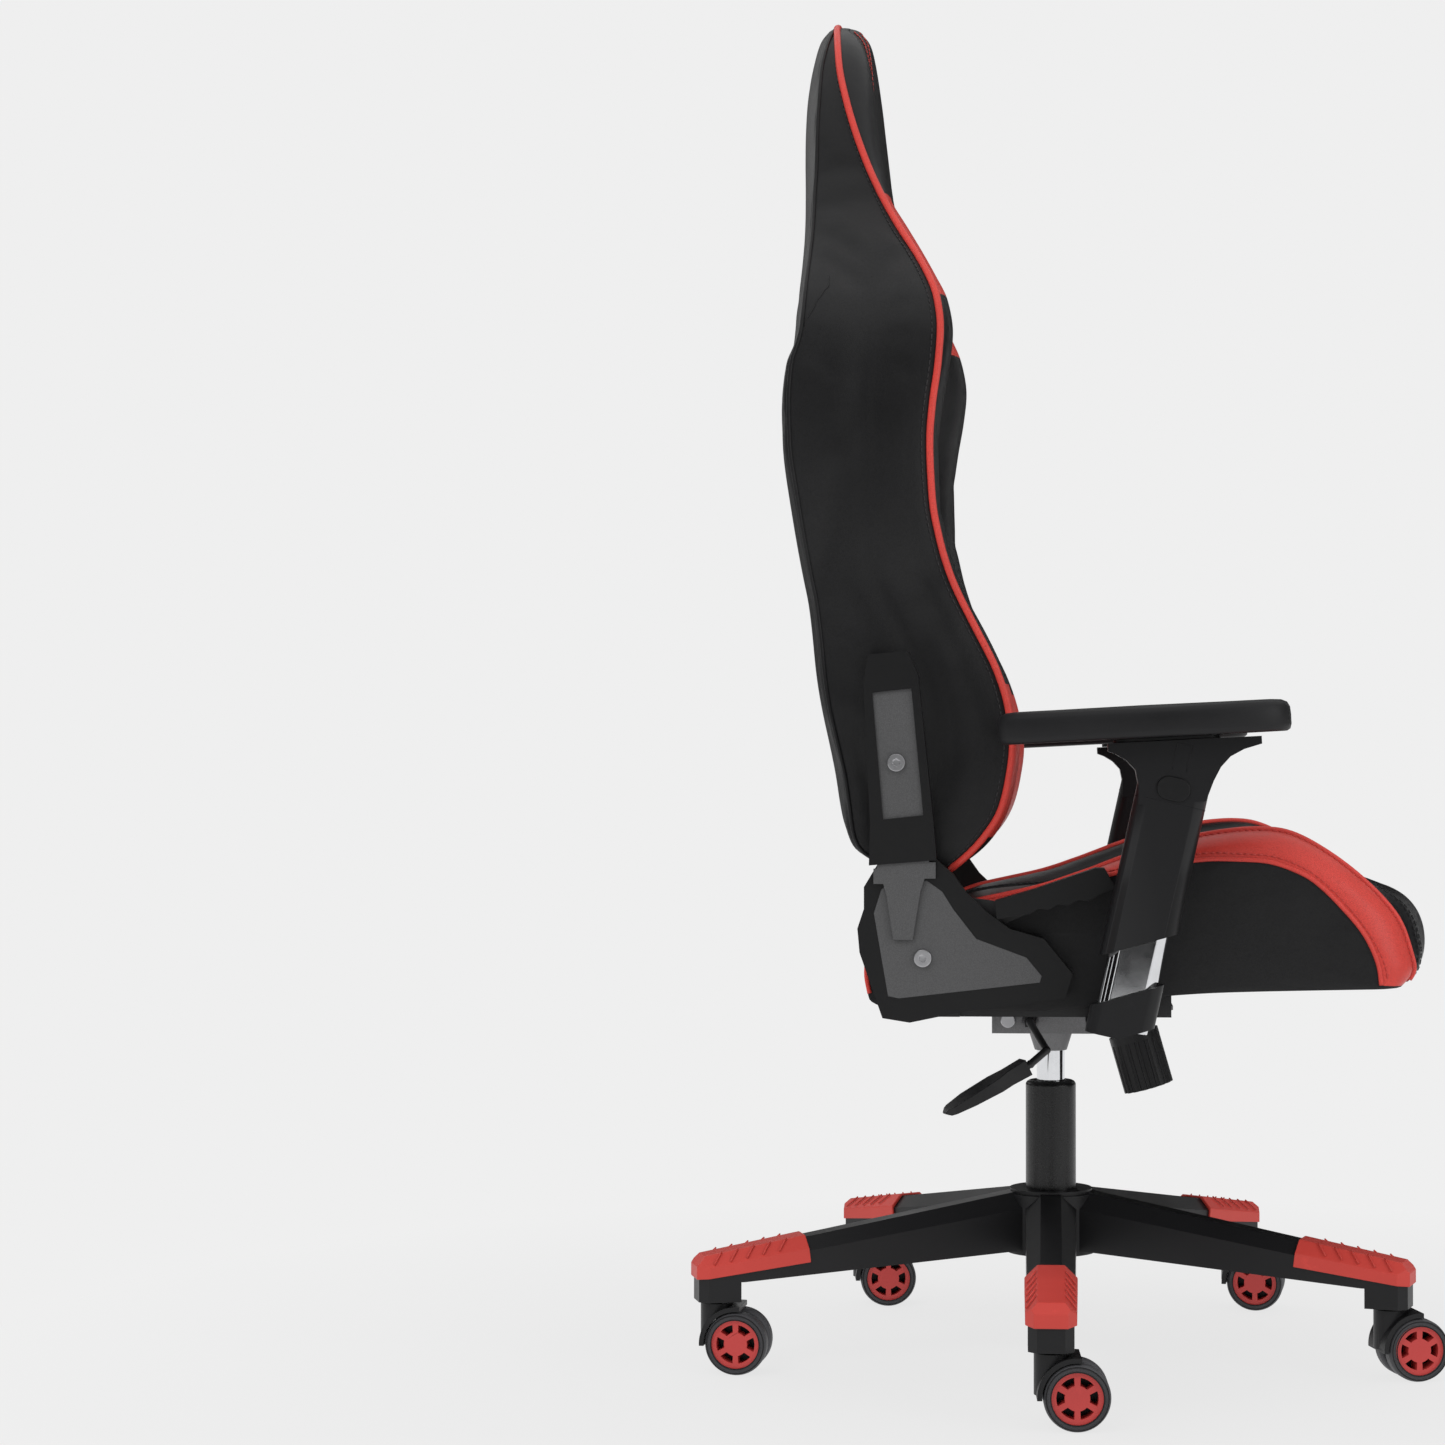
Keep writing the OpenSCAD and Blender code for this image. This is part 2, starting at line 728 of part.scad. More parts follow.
module about_hinge() {
    translate([hinge_x, 0, hinge_z]) children();
}

module seat_bracket(side) {
    color("#58585a") on_side(side) about_hinge() difference() {
        plate_xz(plate_y, plate_y + plate_t) polygon(bracket_outline());
        rod_y(0, 0, hub_pin_r + run_fit, plate_y - 1, plate_y + plate_t + 1);
        rod_y(bolt_x - hinge_x, bolt_z - hinge_z, 4, plate_y - 1, plate_y + plate_t + 1);
    }
}

module bracket_cover(side) {
    color("#1a1a1c") on_side(side) about_hinge() difference() {
        plate_xz(cover_y, cover_y + cover_t) polygon(cover_outline());
        plate_xz(plate_y, plate_y + plate_t + 1) polygon(bracket_outline());
        rod_y(0, 0, recliner_r + 1, cover_y - 1, plate_y + eps);
        rod_y(bolt_x - hinge_x, bolt_z - hinge_z, 4, cover_y - 1, plate_y + 1);
    }
}

// Round recliner: a disc behind the seat bracket, with a hub through the bracket
module recliner(side) {
    color("#77777a") on_side(side) about_hinge() difference() {
        union() {
            rod_y(0, 0, recliner_r, cover_y + 1, plate_y - slide_fit);
            rod_y(0, 0, hub_pin_r, plate_y - 1, arm_y);
        }
        rod_y(0, 0, cross_d / 2 + run_fit, cover_y - 1, arm_y + 1);
    }
}

module cross_rod() {
    reach = arm_y - 1;
    color("#2a2a2c") about_hinge() rod_y(0, 0, cross_d / 2, -reach, reach);
}

// Outline of the back bracket's arm, about the recline axis
function arm_outline() = [
    [-9, -32], [9, -32], [16, 12], [20, 24], [30, 24], [30, 39], [24, 39],
    [back_arm_w / 2 + 1, 76], [back_arm_w / 2 - 11, 204], [-back_arm_w / 2 - 11, 200],
    [-back_arm_w / 2, 76], [-24, 33], [-27, 33], [-27, 19], [-18, 19], [-15, 8]
];

module back_arm(side) {
    color("#58585a") on_side(side) about_hinge() difference() {
        plate_xz(arm_y, arm_y + plate_t) polygon(arm_outline());
        rod_y(back_bolt_x, back_bolt_z, 4, arm_y - 1, arm_y + plate_t + 1);
    }
}

// Outline of the shroud over the back bracket's arm, about the recline axis
function shroud_outline() = [
    [-31, 36], [31, 41], [28, 76], [14, 210], [5, 232], [-32, 229], [-36, 205], [-30, 76]
];

// Outline of the window in the shroud that shows the arm
function window_outline() = [
    [-18, 78], [19, 82], [8, 198], [-28, 194]
];

module back_cover(side) {
    color("#1a1a1c") on_side(side) about_hinge() difference() {
        plate_xz(cover_y, shroud_y) polygon(shroud_outline());
        plate_xz(arm_y, arm_y + plate_t) polygon(arm_outline());
        plate_xz(arm_y + plate_t - eps, shroud_y + 1) polygon(window_outline());
        rod_y(0, 0, sweep_r, cover_y - 1, arm_y);
        rod_y(back_bolt_x, back_bolt_z, 4, cover_y - 1, arm_y + 1);
    }
}

module handle_arm() {
    r = 14;
    color("#3a3a3c") mirror([0, 1, 0]) about_hinge() difference() {
        union() {
            rod_y(0, 0, r, handle_y, handle_y + handle_t);
            plate_xz(handle_y, handle_y + handle_t) polygon([
                [0, -r], [60, -16], [84, -24], [98, -16], [125, -4], [119, 14], [92, 2], [60, 6], [0, r]
            ]);
        }
        rod_y(0, 0, cross_d / 2, handle_y - 1, handle_y + handle_t + 1);
    }
}

// Outline of the recline grip, with finger waves below
function grip_outline() = [
    [86, -13], [100, -10], [116, -8], [124, -3], [133, -4], [142, 1], [151, 0], [160, 5],
    [170, 4], [180, 10], [194, 16], [184, 34], [176, 34], [118, 14], [84, 4]
];

module handle_grip() {
    half = 13;
    centre = handle_y + handle_t + 8;
    color("#1a1a1c") mirror([0, 1, 0]) about_hinge() difference() {
        plate_xz(centre - half, centre + half) polygon(grip_outline());
        plate_xz(handle_y, handle_y + handle_t) polygon([
            [60, -16], [84, -24], [98, -16], [125, -4], [119, 14], [92, 2], [60, 6]
        ]);
        plate_xz(centre - half - 1, handle_y) polygon([[70, -40], [130, -40], [130, 60], [70, 60]]);
    }
}

// ---- Back ----

// Outline of the back's side wings about the recline axis: X, and height before stretching
function wing_outline() = [
    [-12, 29], [-48, 50], [-62, 123], [-78, 203], [-99, 354], [-111, 440], [-109, 492], [-98, 551],
    [-95, 636], [-97, 728], [-99, 801], [-94, 854], [-85, 864], [-70, 868], [-56, 858], [-42, 830],
    [-36, 789], [-31, 741], [-20, 681], [10, 622], [31, 588], [43, 559], [46, 539], [42, 504],
    [35, 474], [28, 415], [31, 370], [39, 329], [46, 306], [66, 267], [84, 230], [99, 191],
    [106, 150], [101, 113], [92, 78], [77, 53], [38, 29]
];

// Outline of the back's middle about the recline axis
function lumbar_outline() = [
    [-12, 29], [-48, 50], [-62, 123], [-78, 203], [-99, 354], [-111, 440], [-109, 492], [-98, 551],
    [-95, 636], [-97, 728], [-99, 801], [-94, 854], [-85, 864], [-70, 868], [-56, 858], [-42, 830],
    [-36, 789], [-31, 741], [-25, 671], [-15, 601], [-5, 521], [0, 441], [-3, 361], [7, 281],
    [30, 201], [47, 141], [47, 101], [35, 61], [25, 29]
];

// Half of the back's outline from the front: distance in from the side panel, and height
function back_front() = [
    [0, 0], [0, 290], [17, 400], [25, 480], [19, 541], [-8, 581], [-53, 625], [-88, 671],
    [-113, 741], [-138, 811], [-183, 852], [-243, 868]
];

module back_side_outline(points) {
    polygon([for (p = points) [p.x, back_z(p.y)]]);
}

module back_cushion() {
    middle = 150;
    edge = panel_y + 40;
    color("#2b2b2e") about_hinge() difference() {
        intersection() {
            union() {
                plate_xz(-middle - eps, middle + eps) back_side_outline(lumbar_outline());
                for (y = [-edge, middle]) plate_xz(y, y + edge - middle)
                    back_side_outline(wing_outline());
            }
            translate([-250, 0, 0]) rotate([90, 0, 90]) linear_extrude(500) polygon(concat(
                [for (p = back_front()) [max(panel_y + p.x, 1), back_z(p.y)]],
                [for (p = reversed(back_front())) [-max(panel_y + p.x, 1), back_z(p.y)]]
            ));
        }
        back_frame_bars();
        for (y = [-1, 1]) rod_y(back_bolt_x, back_bolt_z, 5, y * (panel_y - 10) - 20, y * (panel_y - 10) + 20);
    }
}

// The bars of the back's frame, about the recline axis
module back_frame_bars() {
    bar_w = 20;
    bar_y = panel_y - 34;
    rise = back_z(520) - 20;
    for (y = [-bar_y - bar_w, bar_y]) translate([-22, y, 20]) rotate([0, -5, 0]) {
        cube([bar_w, bar_w, rise]);
        translate([0, 0, 90]) cube([28, bar_w, 40]);
    }
    for (z = [90, rise / 2, rise - 60]) translate([-22, -bar_y, 20]) rotate([0, -5, 0])
        translate([2, 0, z]) cube([16, 2 * bar_y, bar_w]);
}

module back_frame() {
    color("#2a2a2c") about_hinge() difference() {
        back_frame_bars();
        for (y = [-1, 1]) rod_y(back_bolt_x, back_bolt_z, 4, y * (panel_y - 20) - 8, y * (panel_y - 20) + 8);
    }
}

module back_bolts() {
    color("silver") about_hinge() for (y = [-1, 1]) mirror([0, y < 0 ? 1 : 0, 0])
        side_bolt(back_bolt_x, back_bolt_z, panel_y - 28, arm_y + plate_t);
}

// ---- Armrests ----

// The post's own frame: Z runs up the leaning post
module at_post(side) {
    on_side(side) translate([post_x, post_y, post_z]) rotate([0, post_lean, 0]) children();
}

// The arm pad's own frame: X runs along the sloping top of the sleeve
module at_rest(side) {
    on_side(side) translate([rest_x, post_y, rest_z]) rotate([0, -pad_slope, 0]) children();
}

// A length of the post's rounded section, with its ends cut on a slope
module post_section(w, t, low, high, slope) {
    drop = w / 2 * tan(slope);
    r = min(t / 2 - 1, 12);
    intersection() {
        translate([0, 0, low - drop - 1]) linear_extrude(high - low + 2 * drop + 2) round_box_2d(w, t, r);
        plate_xz(-t, t) polygon([
            [-w, low - 2 * drop], [w, low + 2 * drop], [w, high + 2 * drop], [-w, high - 2 * drop]
        ]);
    }
}

module arm_mount(side) {
    color("#1c1c1e") {
        difference() {
            union() {
                at_post(side) intersection() {
                    post_section(sleeve_w - 4, sleeve_t, 0, 40, 28);
                    translate([-sleeve_w, -sleeve_t, 0]) cube([2 * sleeve_w, 2 * sleeve_t, 80]);
                }
                on_side(side) translate([32, rail_y - 10, post_bar_z])
                    cube([60, post_y - rail_y + 12, 6]);
            }
            at_post(side) translate([0, 0, post_foot]) linear_extrude(90) round_box_2d(post_w, post_t, post_round);
            for (p = seat_bolt_places()) translate([p.x, p.y, post_bar_z - 8]) cylinder(d = 8, h = 20);
        }
    }
}

module arm_post(side) {
    color("#c9ccd1") at_post(side) translate([0, 0, post_foot]) linear_extrude(post_l)
        round_box_2d(post_w, post_t, post_round);
}

module button_2d(grow) {
    slot_2d(30 + grow, 21 + grow);
}

module arm_sleeve(side) {
    cavity = post_foot + post_l + rest_drop + 2 - sleeve_low;
    face_y = sleeve_t / 2;
    color("#1c1c1e") difference() {
        union() {
            at_post(side) post_section(sleeve_w, sleeve_t, sleeve_low, sleeve_low + sleeve_l, 28);
            at_rest(side) plate_xz(-face_y, face_y) polygon([
                [-rest_l / 2, -7], [-rest_l / 2 + 7, -10], [-rest_l / 2 + 16, -16], [-45, -25], [-43, -38],
                [-44, -56], [16, -56], [24, -38], [31, -26], [40, -17], [rest_l / 2 - 16, -11],
                [rest_l / 2, -7], [rest_l / 2, 0], [-rest_l / 2, 0]
            ]);
        }
        at_post(side) translate([0, 0, sleeve_low - 60]) linear_extrude(cavity + 60)
            round_box_2d(post_w + 2 * slide_fit, post_t + 2 * slide_fit, post_round + slide_fit);
        at_post(side) translate([0, face_y - 9, button_up]) rotate([-90, 0, 0]) linear_extrude(20) button_2d(0.4);
        at_rest(side) translate([pad_pivot, 0, -5]) linear_extrude(10) slot_2d(94, 12.4);
    }
}

module arm_button(side) {
    face_y = sleeve_t / 2;
    color("#2a2a2c") at_post(side) translate([0, face_y - 6, button_up]) rotate([-90, 0, 0])
        linear_extrude(8) button_2d(0);
}

module pad_slider(side) {
    color("#2a2a2c") at_rest(side) {
        translate([pad_pivot, 0, slide_fit]) linear_extrude(slider_t) slot_2d(slider_l, 30);
        translate([pad_pivot, 0, -4]) linear_extrude(4 + slide_fit + eps) slot_2d(40, 12);
        translate([pad_pivot, 0, slide_fit]) cylinder(r = 6, h = slider_t + 12);
    }
}

module arm_pad(side) {
    low = 2 * slide_fit + slider_t;
    r = pad_w / 2 - 4;
    color("#1f1f22") at_rest(side) difference() {
        translate([pad_centre, 0, low]) {
            translate([0, 0, 5]) linear_extrude(pad_t - 11) round_box_2d(pad_l, pad_w, r);
            linear_extrude(5 + eps) round_box_2d(pad_l - 12, pad_w - 12, r - 6);
            translate([0, 0, pad_t - 6 - eps]) linear_extrude(6) round_box_2d(pad_l - 8, pad_w - 8, r - 4);
        }
        translate([pad_pivot, 0, 0]) cylinder(r = 6 + run_fit, h = slider_t + 13);
    }
}

// ---- What is drawn ----

star_base();
arm_caps();
gas_tube();
gas_bush();
gas_rod();
gas_spindle();
mech_housing();
tilt_pin();
tilt_spring();
tension_knob();
lever_slider();
lever_rod();
lever_paddle();
tilt_plate();
seat_frame();
seat_cushion();
seat_bolts();
cross_rod();
handle_arm();
handle_grip();
back_frame();
back_cushion();
back_bolts();
for (side = SIDES) {
    seat_bracket(side);
    bracket_cover(side);
    back_arm(side);
    back_cover(side);
    recliner(side);
    arm_mount(side);
    arm_post(side);
    arm_sleeve(side);
    arm_button(side);
    pad_slider(side);
    arm_pad(side);
}
for (i = [1 : CASTERS]) {
    caster_housing(i);
    caster_tyres(i);
    caster_hubs(i);
}
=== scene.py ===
import json
import math

import bmesh
import bpy
from mathutils import Matrix, Vector, noise
from mathutils.bvhtree import BVHTree


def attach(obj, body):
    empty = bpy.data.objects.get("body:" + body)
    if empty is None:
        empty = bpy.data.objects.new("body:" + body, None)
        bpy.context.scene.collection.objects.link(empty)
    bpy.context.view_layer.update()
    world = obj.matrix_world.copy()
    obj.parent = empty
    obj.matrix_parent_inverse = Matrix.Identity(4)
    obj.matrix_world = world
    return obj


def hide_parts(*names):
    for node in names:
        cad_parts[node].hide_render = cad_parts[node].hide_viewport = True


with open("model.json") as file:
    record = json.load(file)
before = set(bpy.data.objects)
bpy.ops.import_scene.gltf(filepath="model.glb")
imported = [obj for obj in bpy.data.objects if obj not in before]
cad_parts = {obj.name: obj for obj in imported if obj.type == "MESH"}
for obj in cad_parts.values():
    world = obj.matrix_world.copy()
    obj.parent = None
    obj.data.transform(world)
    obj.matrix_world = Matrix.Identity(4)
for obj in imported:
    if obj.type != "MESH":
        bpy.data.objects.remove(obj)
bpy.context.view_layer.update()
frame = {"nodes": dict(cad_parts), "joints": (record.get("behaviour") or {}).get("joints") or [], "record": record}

JOINTS = {joint["name"]: joint for joint in frame["joints"]}
SIDES = {"left": 1, "right": -1}
CASTERS = range(1, 6)
MM = 0.001


# ---- Camera, light and floor ----

def add_camera():
    """A long lens level with the armrests, looking square at the chair's right side."""
    turn_left, look_up = math.radians(3.429), math.radians(0.797)
    camera = bpy.data.objects.new("camera", bpy.data.cameras.new("camera"))
    camera.data.sensor_width = 36
    camera.data.lens = 75.88
    camera.data.shift_x = -0.1
    camera.location = (-0.001, -3.0505, 0.587)
    camera.rotation_euler = (math.radians(90) + look_up, 0, turn_left)
    bpy.context.scene.collection.objects.link(camera)
    bpy.context.scene.camera = camera


def add_light(name, place, target, size, watts, glossy=True):
    lamp = bpy.data.lights.new(name, "AREA")
    lamp.shape = "RECTANGLE"
    lamp.size, lamp.size_y = size
    lamp.energy = watts
    light = bpy.data.objects.new(name, lamp)
    light.location = place
    light.visible_glossy = glossy
    light.rotation_euler = (Vector(target) - Vector(place)).to_track_quat("-Z", "Y").to_euler()
    bpy.context.scene.collection.objects.link(light)


BACKDROP = 0.863
CARDS = 9


def add_card(k):
    """A tall black card, seen only in reflections, which gives the metal and plastic their contrast."""
    half, tall, away = 1.5, 4.6, 5.0
    mesh = bpy.data.meshes.new(f"card_{k}")
    mesh.from_pydata([(-half, 0, -1), (half, 0, -1), (half, 0, tall), (-half, 0, tall)], [], [(0, 1, 2, 3)])
    card = bpy.data.objects.new(f"card_{k}", mesh)
    angle = 2 * math.pi * k / CARDS - math.pi / 2 + 0.12
    card.location = (away * math.cos(angle), away * math.sin(angle), 0)
    card.rotation_euler = (0, 0, angle - math.pi / 2)
    card.visible_camera = card.visible_diffuse = card.visible_shadow = card.visible_transmission = False
    mesh.materials.append(card_finish())
    bpy.context.scene.collection.objects.link(card)


def add_studio():
    scene = bpy.context.scene
    scene.view_settings.view_transform = "Standard"
    world = bpy.data.worlds.new("studio")
    scene.world = world
    world.use_nodes = True
    world.node_tree.nodes["Background"].inputs["Color"].default_value = (BACKDROP, BACKDROP, BACKDROP, 1)
    world.node_tree.nodes["Background"].inputs["Strength"].default_value = 1.0
    middle = (0, 0, 0.7)
    add_light("key", (-1.6, -2.6, 2.6), middle, (1.6, 1.6), 34, glossy=False)
    add_light("fill", (2.6, -1.8, 1.5), middle, (1.4, 1.8), 22)
    add_light("rim", (-2.4, 2.2, 2.4), middle, (2.4, 2.4), 14)
    for k in range(CARDS):
        add_card(k)
    mesh = bpy.data.meshes.new("floor")
    reach = 40
    corners = [(-reach, -reach, 0), (reach, -reach, 0), (reach, reach, 0), (-reach, reach, 0)]
    mesh.from_pydata(corners, [], [(0, 1, 2, 3)])
    floor = bpy.data.objects.new("floor", mesh)
    scene.collection.objects.link(floor)
    floor.data.materials.append(floor_finish())


# ---- Finishes ----

class Value:
    """A number, colour or vector in a material. Arithmetic on it adds Math nodes."""

    def __init__(self, finish, socket):
        self.finish, self.socket = finish, socket

    def math(self, operation, *others):
        return self.finish.node("ShaderNodeMath", {"operation": operation}, dict(enumerate((self, *others))))

    def __add__(self, other): return self.math("ADD", other)

    def __mul__(self, other): return self.math("MULTIPLY", other)

    def __sub__(self, other): return self.math("SUBTRACT", other)

    def __rsub__(self, other):
        return self.finish.node("ShaderNodeMath", {"operation": "SUBTRACT"}, {0: other, 1: self})

    __radd__, __rmul__ = __add__, __mul__

    def power(self, exponent): return self.math("POWER", exponent)

    def most(self, other): return self.math("MAXIMUM", other)


class Finish:
    """A material with a Principled shader, and short ways to add nodes that feed it."""

    def __init__(self, name, **uniform):
        self.material = bpy.data.materials.new(name)
        self.material.use_nodes = True
        self.tree = self.material.node_tree
        self.shader = self.tree.nodes["Principled BSDF"]
        self.set(**uniform)

    def set(self, **sockets):
        for name, value in sockets.items():
            self.put(self.shader.inputs[name.replace("_", " ")], value)
        return self

    def put(self, socket, value):
        if isinstance(value, Value):
            self.tree.links.new(value.socket, socket)
        elif isinstance(value, (tuple, list)) and socket.type == "RGBA":
            socket.default_value = (*value[:3], 1)
        else:
            socket.default_value = value

    def node(self, kind, settings=None, sockets=None, out=0):
        made = self.tree.nodes.new(kind)
        for name, value in (settings or {}).items():
            setattr(made, name, value)
        for name, value in (sockets or {}).items():
            self.put(made.inputs[name], value)
        return Value(self, made.outputs[out])

    def place(self):
        return self.node("ShaderNodeTexCoord", out=3)

    def split(self, vector):
        made = self.tree.nodes.new("ShaderNodeSeparateXYZ")
        self.put(made.inputs[0], vector)
        return [Value(self, socket) for socket in made.outputs]

    def noise(self, scale, detail=3.0, roughness=0.5, vector=None):
        sockets = {"Vector": vector or self.place(), "Scale": scale, "Detail": detail, "Roughness": roughness}
        return self.node("ShaderNodeTexNoise", None, sockets)

    def cells(self, scale, feature="F1", vector=None):
        return self.node("ShaderNodeTexVoronoi", {"feature": feature},
                         {"Vector": vector or self.place(), "Scale": scale})

    def ramp(self, factor, low, high, start=0.0, end=1.0):
        """Maps factor from low..high to start..end, clamped."""
        return self.node("ShaderNodeMapRange", {"clamp": True},
                         {0: factor, 1: low, 2: high, 3: start, 4: end})

    def mix(self, factor, first, second):
        made = self.tree.nodes.new("ShaderNodeMix")
        made.data_type = "RGBA"
        self.put(made.inputs["Factor"], factor)
        for socket, value in zip([s for s in made.inputs if s.type == "RGBA"], (first, second)):
            self.put(socket, value)
        return Value(self, next(s for s in made.outputs if s.type == "RGBA"))

    def bump(self, *layers):
        """Adds bumps, each (height, strength, distance in metres), on top of one another."""
        normal = None
        for height, strength, distance in layers:
            sockets = {"Height": height, "Strength": strength, "Distance": distance}
            if normal:
                sockets["Normal"] = normal
            normal = self.node("ShaderNodeBump", None, sockets)
        return self.set(Normal=normal)


BLACK_HIDE = (0.0075, 0.0075, 0.0082)
RED_HIDE = (0.56, 0.046, 0.034)


def worn(colour):
    """A leather's colour where it has been rubbed."""
    return tuple(min(1.0, c * 1.35 + 0.004) for c in colour)


def leather(finish, gloss):
    """Gives a finish a fine pebbled grain, pores and soft creases. Returns its slow tone and its grain."""
    grain = finish.cells(950, "DISTANCE_TO_EDGE")
    pores = finish.noise(2600, 2.0, 0.6)
    creases = finish.noise(26, 4.0, 0.55)
    tone = finish.noise(7, 3.0, 0.5)
    lift = finish.ramp(grain, 0.02, 0.22)
    finish.set(Roughness=finish.ramp(tone, 0.2, 0.8, gloss, gloss + 0.12) - lift * 0.04)
    finish.bump((creases, 0.25, 0.0035), (lift, 0.3, 0.00014), (pores, 0.12, 0.00008))
    return finish.ramp(tone, 0.35, 0.7), lift


def hide(name, colour, gloss=0.38):
    """Coated synthetic leather with slight wear of its colour, and painted shade in the grooves of its grain."""
    finish = Finish(name, Specular_IOR_Level=0.3, Coat_Weight=0.05, Coat_Roughness=0.3)
    tone, lift = leather(finish, gloss)
    base = finish.mix(tone, colour, worn(colour))
    # Painted shade: the grain's grooves, where its bump sinks, are darkened to 72% of the colour.
    dark = tuple(c * 0.72 for c in colour)
    return finish.set(Base_Color=finish.mix(lift, dark, base)).material


def zone(finish, value, low, high, soft=0.0006):
    """1 where value is between low and high."""
    return finish.ramp(value, low, low + soft) * finish.ramp(value, high - soft, high, 1.0, 0.0)


def wing_hide(name, gloss=0.36):
    """The wings' leather: black, with a red zone low down and another at the shoulder, and painted shade in the
    grooves of its grain.
    """
    finish = Finish(name, Specular_IOR_Level=0.3, Coat_Weight=0.05, Coat_Roughness=0.3)
    height = finish.split(finish.place())[2]
    red_part = zone(finish, height, 0.520, 0.662).most(zone(finish, height, 1.022, 1.134))
    tone, lift = leather(finish, gloss)
    black = finish.mix(tone, BLACK_HIDE, worn(BLACK_HIDE))
    red = finish.mix(tone, RED_HIDE, tuple(c * 1.12 for c in RED_HIDE))
    base = finish.mix(red_part, black, red)
    # Painted shade: the grain's grooves, where its bump sinks, are darkened to 72% of the colour.
    dark = finish.mix(0.28, base, (0.0, 0.0, 0.0))
    return finish.set(Base_Color=finish.mix(lift, dark, base)).material


def moulding(name, colour, roughness=0.42, texture=0.25):
    """Moulded plastic with a fine spark-eroded texture and faint scuffs."""
    finish = Finish(name, Specular_IOR_Level=0.35)
    spark = finish.noise(1500, 4.0, 0.65)
    flow = finish.noise(9, 3.0, 0.5)
    scuffs = finish.ramp(finish.noise(60, 8.0, 0.75), 0.62, 0.75)
    pale = tuple(min(1.0, c * 1.3 + 0.006) for c in colour)
    base = finish.mix(finish.ramp(flow, 0.3, 0.7), colour, tuple(c * 0.85 for c in colour))
    finish.set(Base_Color=finish.mix(scuffs * 0.35, base, pale),
               Roughness=finish.ramp(flow, 0.25, 0.75, roughness - 0.05, roughness + 0.06) + scuffs * 0.08)
    return finish.bump((flow, 0.06, 0.002), (spark, texture, 0.00012)).material


def powder_coat(name, colour, roughness=0.5):
    """Textured powder coat on steel: orange peel, fine specks, rubbed spots."""
    finish = Finish(name, Specular_IOR_Level=0.5)
    peel = finish.noise(700, 3.0, 0.6)
    specks = finish.cells(1400)
    rub = finish.ramp(finish.noise(18, 6.0, 0.7), 0.55, 0.8)
    pale, dark = (tuple(c * share for c in colour) for share in (1.25, 0.82))
    finish.set(Base_Color=finish.mix(finish.ramp(specks, 0.1, 0.6), pale, dark),
               Roughness=finish.ramp(peel, 0.3, 0.7, roughness - 0.06, roughness + 0.08) - rub * 0.05)
    return finish.bump((peel, 0.45, 0.00025), (specks, 0.2, 0.00012)).material


def plated(name, colour, roughness, brushed=0.0):
    """Plated metal with faint smudges, and fine scratch marks where wanted."""
    finish = Finish(name, Metallic=1.0)
    smudge = finish.noise(35, 5.0, 0.6)
    scratch = finish.noise(900, 2.0, 0.7)
    finish.set(Base_Color=finish.mix(finish.ramp(smudge, 0.3, 0.75), colour, tuple(c * 0.88 for c in colour)),
               Roughness=finish.ramp(smudge, 0.3, 0.8, roughness, roughness + 0.07) + scratch * brushed)
    return finish.bump((scratch, 0.04 + brushed, 0.00005)).material


def soft_rubber(name, colour, roughness=0.55):
    """Cast polyurethane: a matt skin with a very fine pebble."""
    finish = Finish(name, Specular_IOR_Level=0.3)
    pebble = finish.cells(1800)
    tone = finish.noise(14, 3.0, 0.5)
    finish.set(Base_Color=finish.mix(finish.ramp(tone, 0.3, 0.7), colour, tuple(c * 1.35 for c in colour)),
               Roughness=finish.ramp(tone, 0.3, 0.7, roughness - 0.05, roughness + 0.07))
    return finish.bump((pebble, 0.3, 0.0001), (tone, 0.05, 0.002)).material


def thread(name, colour):
    """Twisted sewing thread, with painted shade where the twist's bump sinks."""
    finish = Finish(name, Roughness=0.6)
    twist = finish.noise(2200, 2.0, 0.5)
    # Painted shade: the colour falls to 70% where the twist noise, which is also the bump's height, is low.
    finish.set(Base_Color=finish.mix(twist, tuple(c * 0.7 for c in colour), colour))
    return finish.bump((twist, 0.5, 0.0002)).material


def card_finish():
    """Black flocked card."""
    finish = Finish("card", Roughness=1.0, Specular_IOR_Level=0.0)
    finish.set(Base_Color=finish.mix(finish.noise(3.0), (0.004, 0.004, 0.004), (0.008, 0.008, 0.008)))
    return finish.material


def floor_finish():
    """A pale studio floor that runs into the backdrop's own white away from the chair."""
    finish = Finish("floor", Roughness=0.9, Specular_IOR_Level=0.1)
    x, y = finish.split(finish.place())[:2]
    away = finish.ramp((x * x + y * y).power(0.5), 0.25, 1.1, 0.86, 1.0)
    grit = finish.noise(40, 3.0, 0.5)
    finish.set(Base_Color=finish.mix(grit, (0.50, 0.50, 0.50), (0.54, 0.54, 0.54)))
    glow = finish.tree.nodes.new("ShaderNodeEmission")
    glow.inputs["Color"].default_value = (BACKDROP, BACKDROP, BACKDROP, 1)
    blend = finish.tree.nodes.new("ShaderNodeMixShader")
    finish.put(blend.inputs[0], away)
    finish.tree.links.new(finish.shader.outputs[0], blend.inputs[1])
    finish.tree.links.new(glow.outputs[0], blend.inputs[2])
    finish.tree.links.new(blend.outputs[0], finish.tree.nodes["Material Output"].inputs["Surface"])
    return finish.material


add_camera()
add_studio()

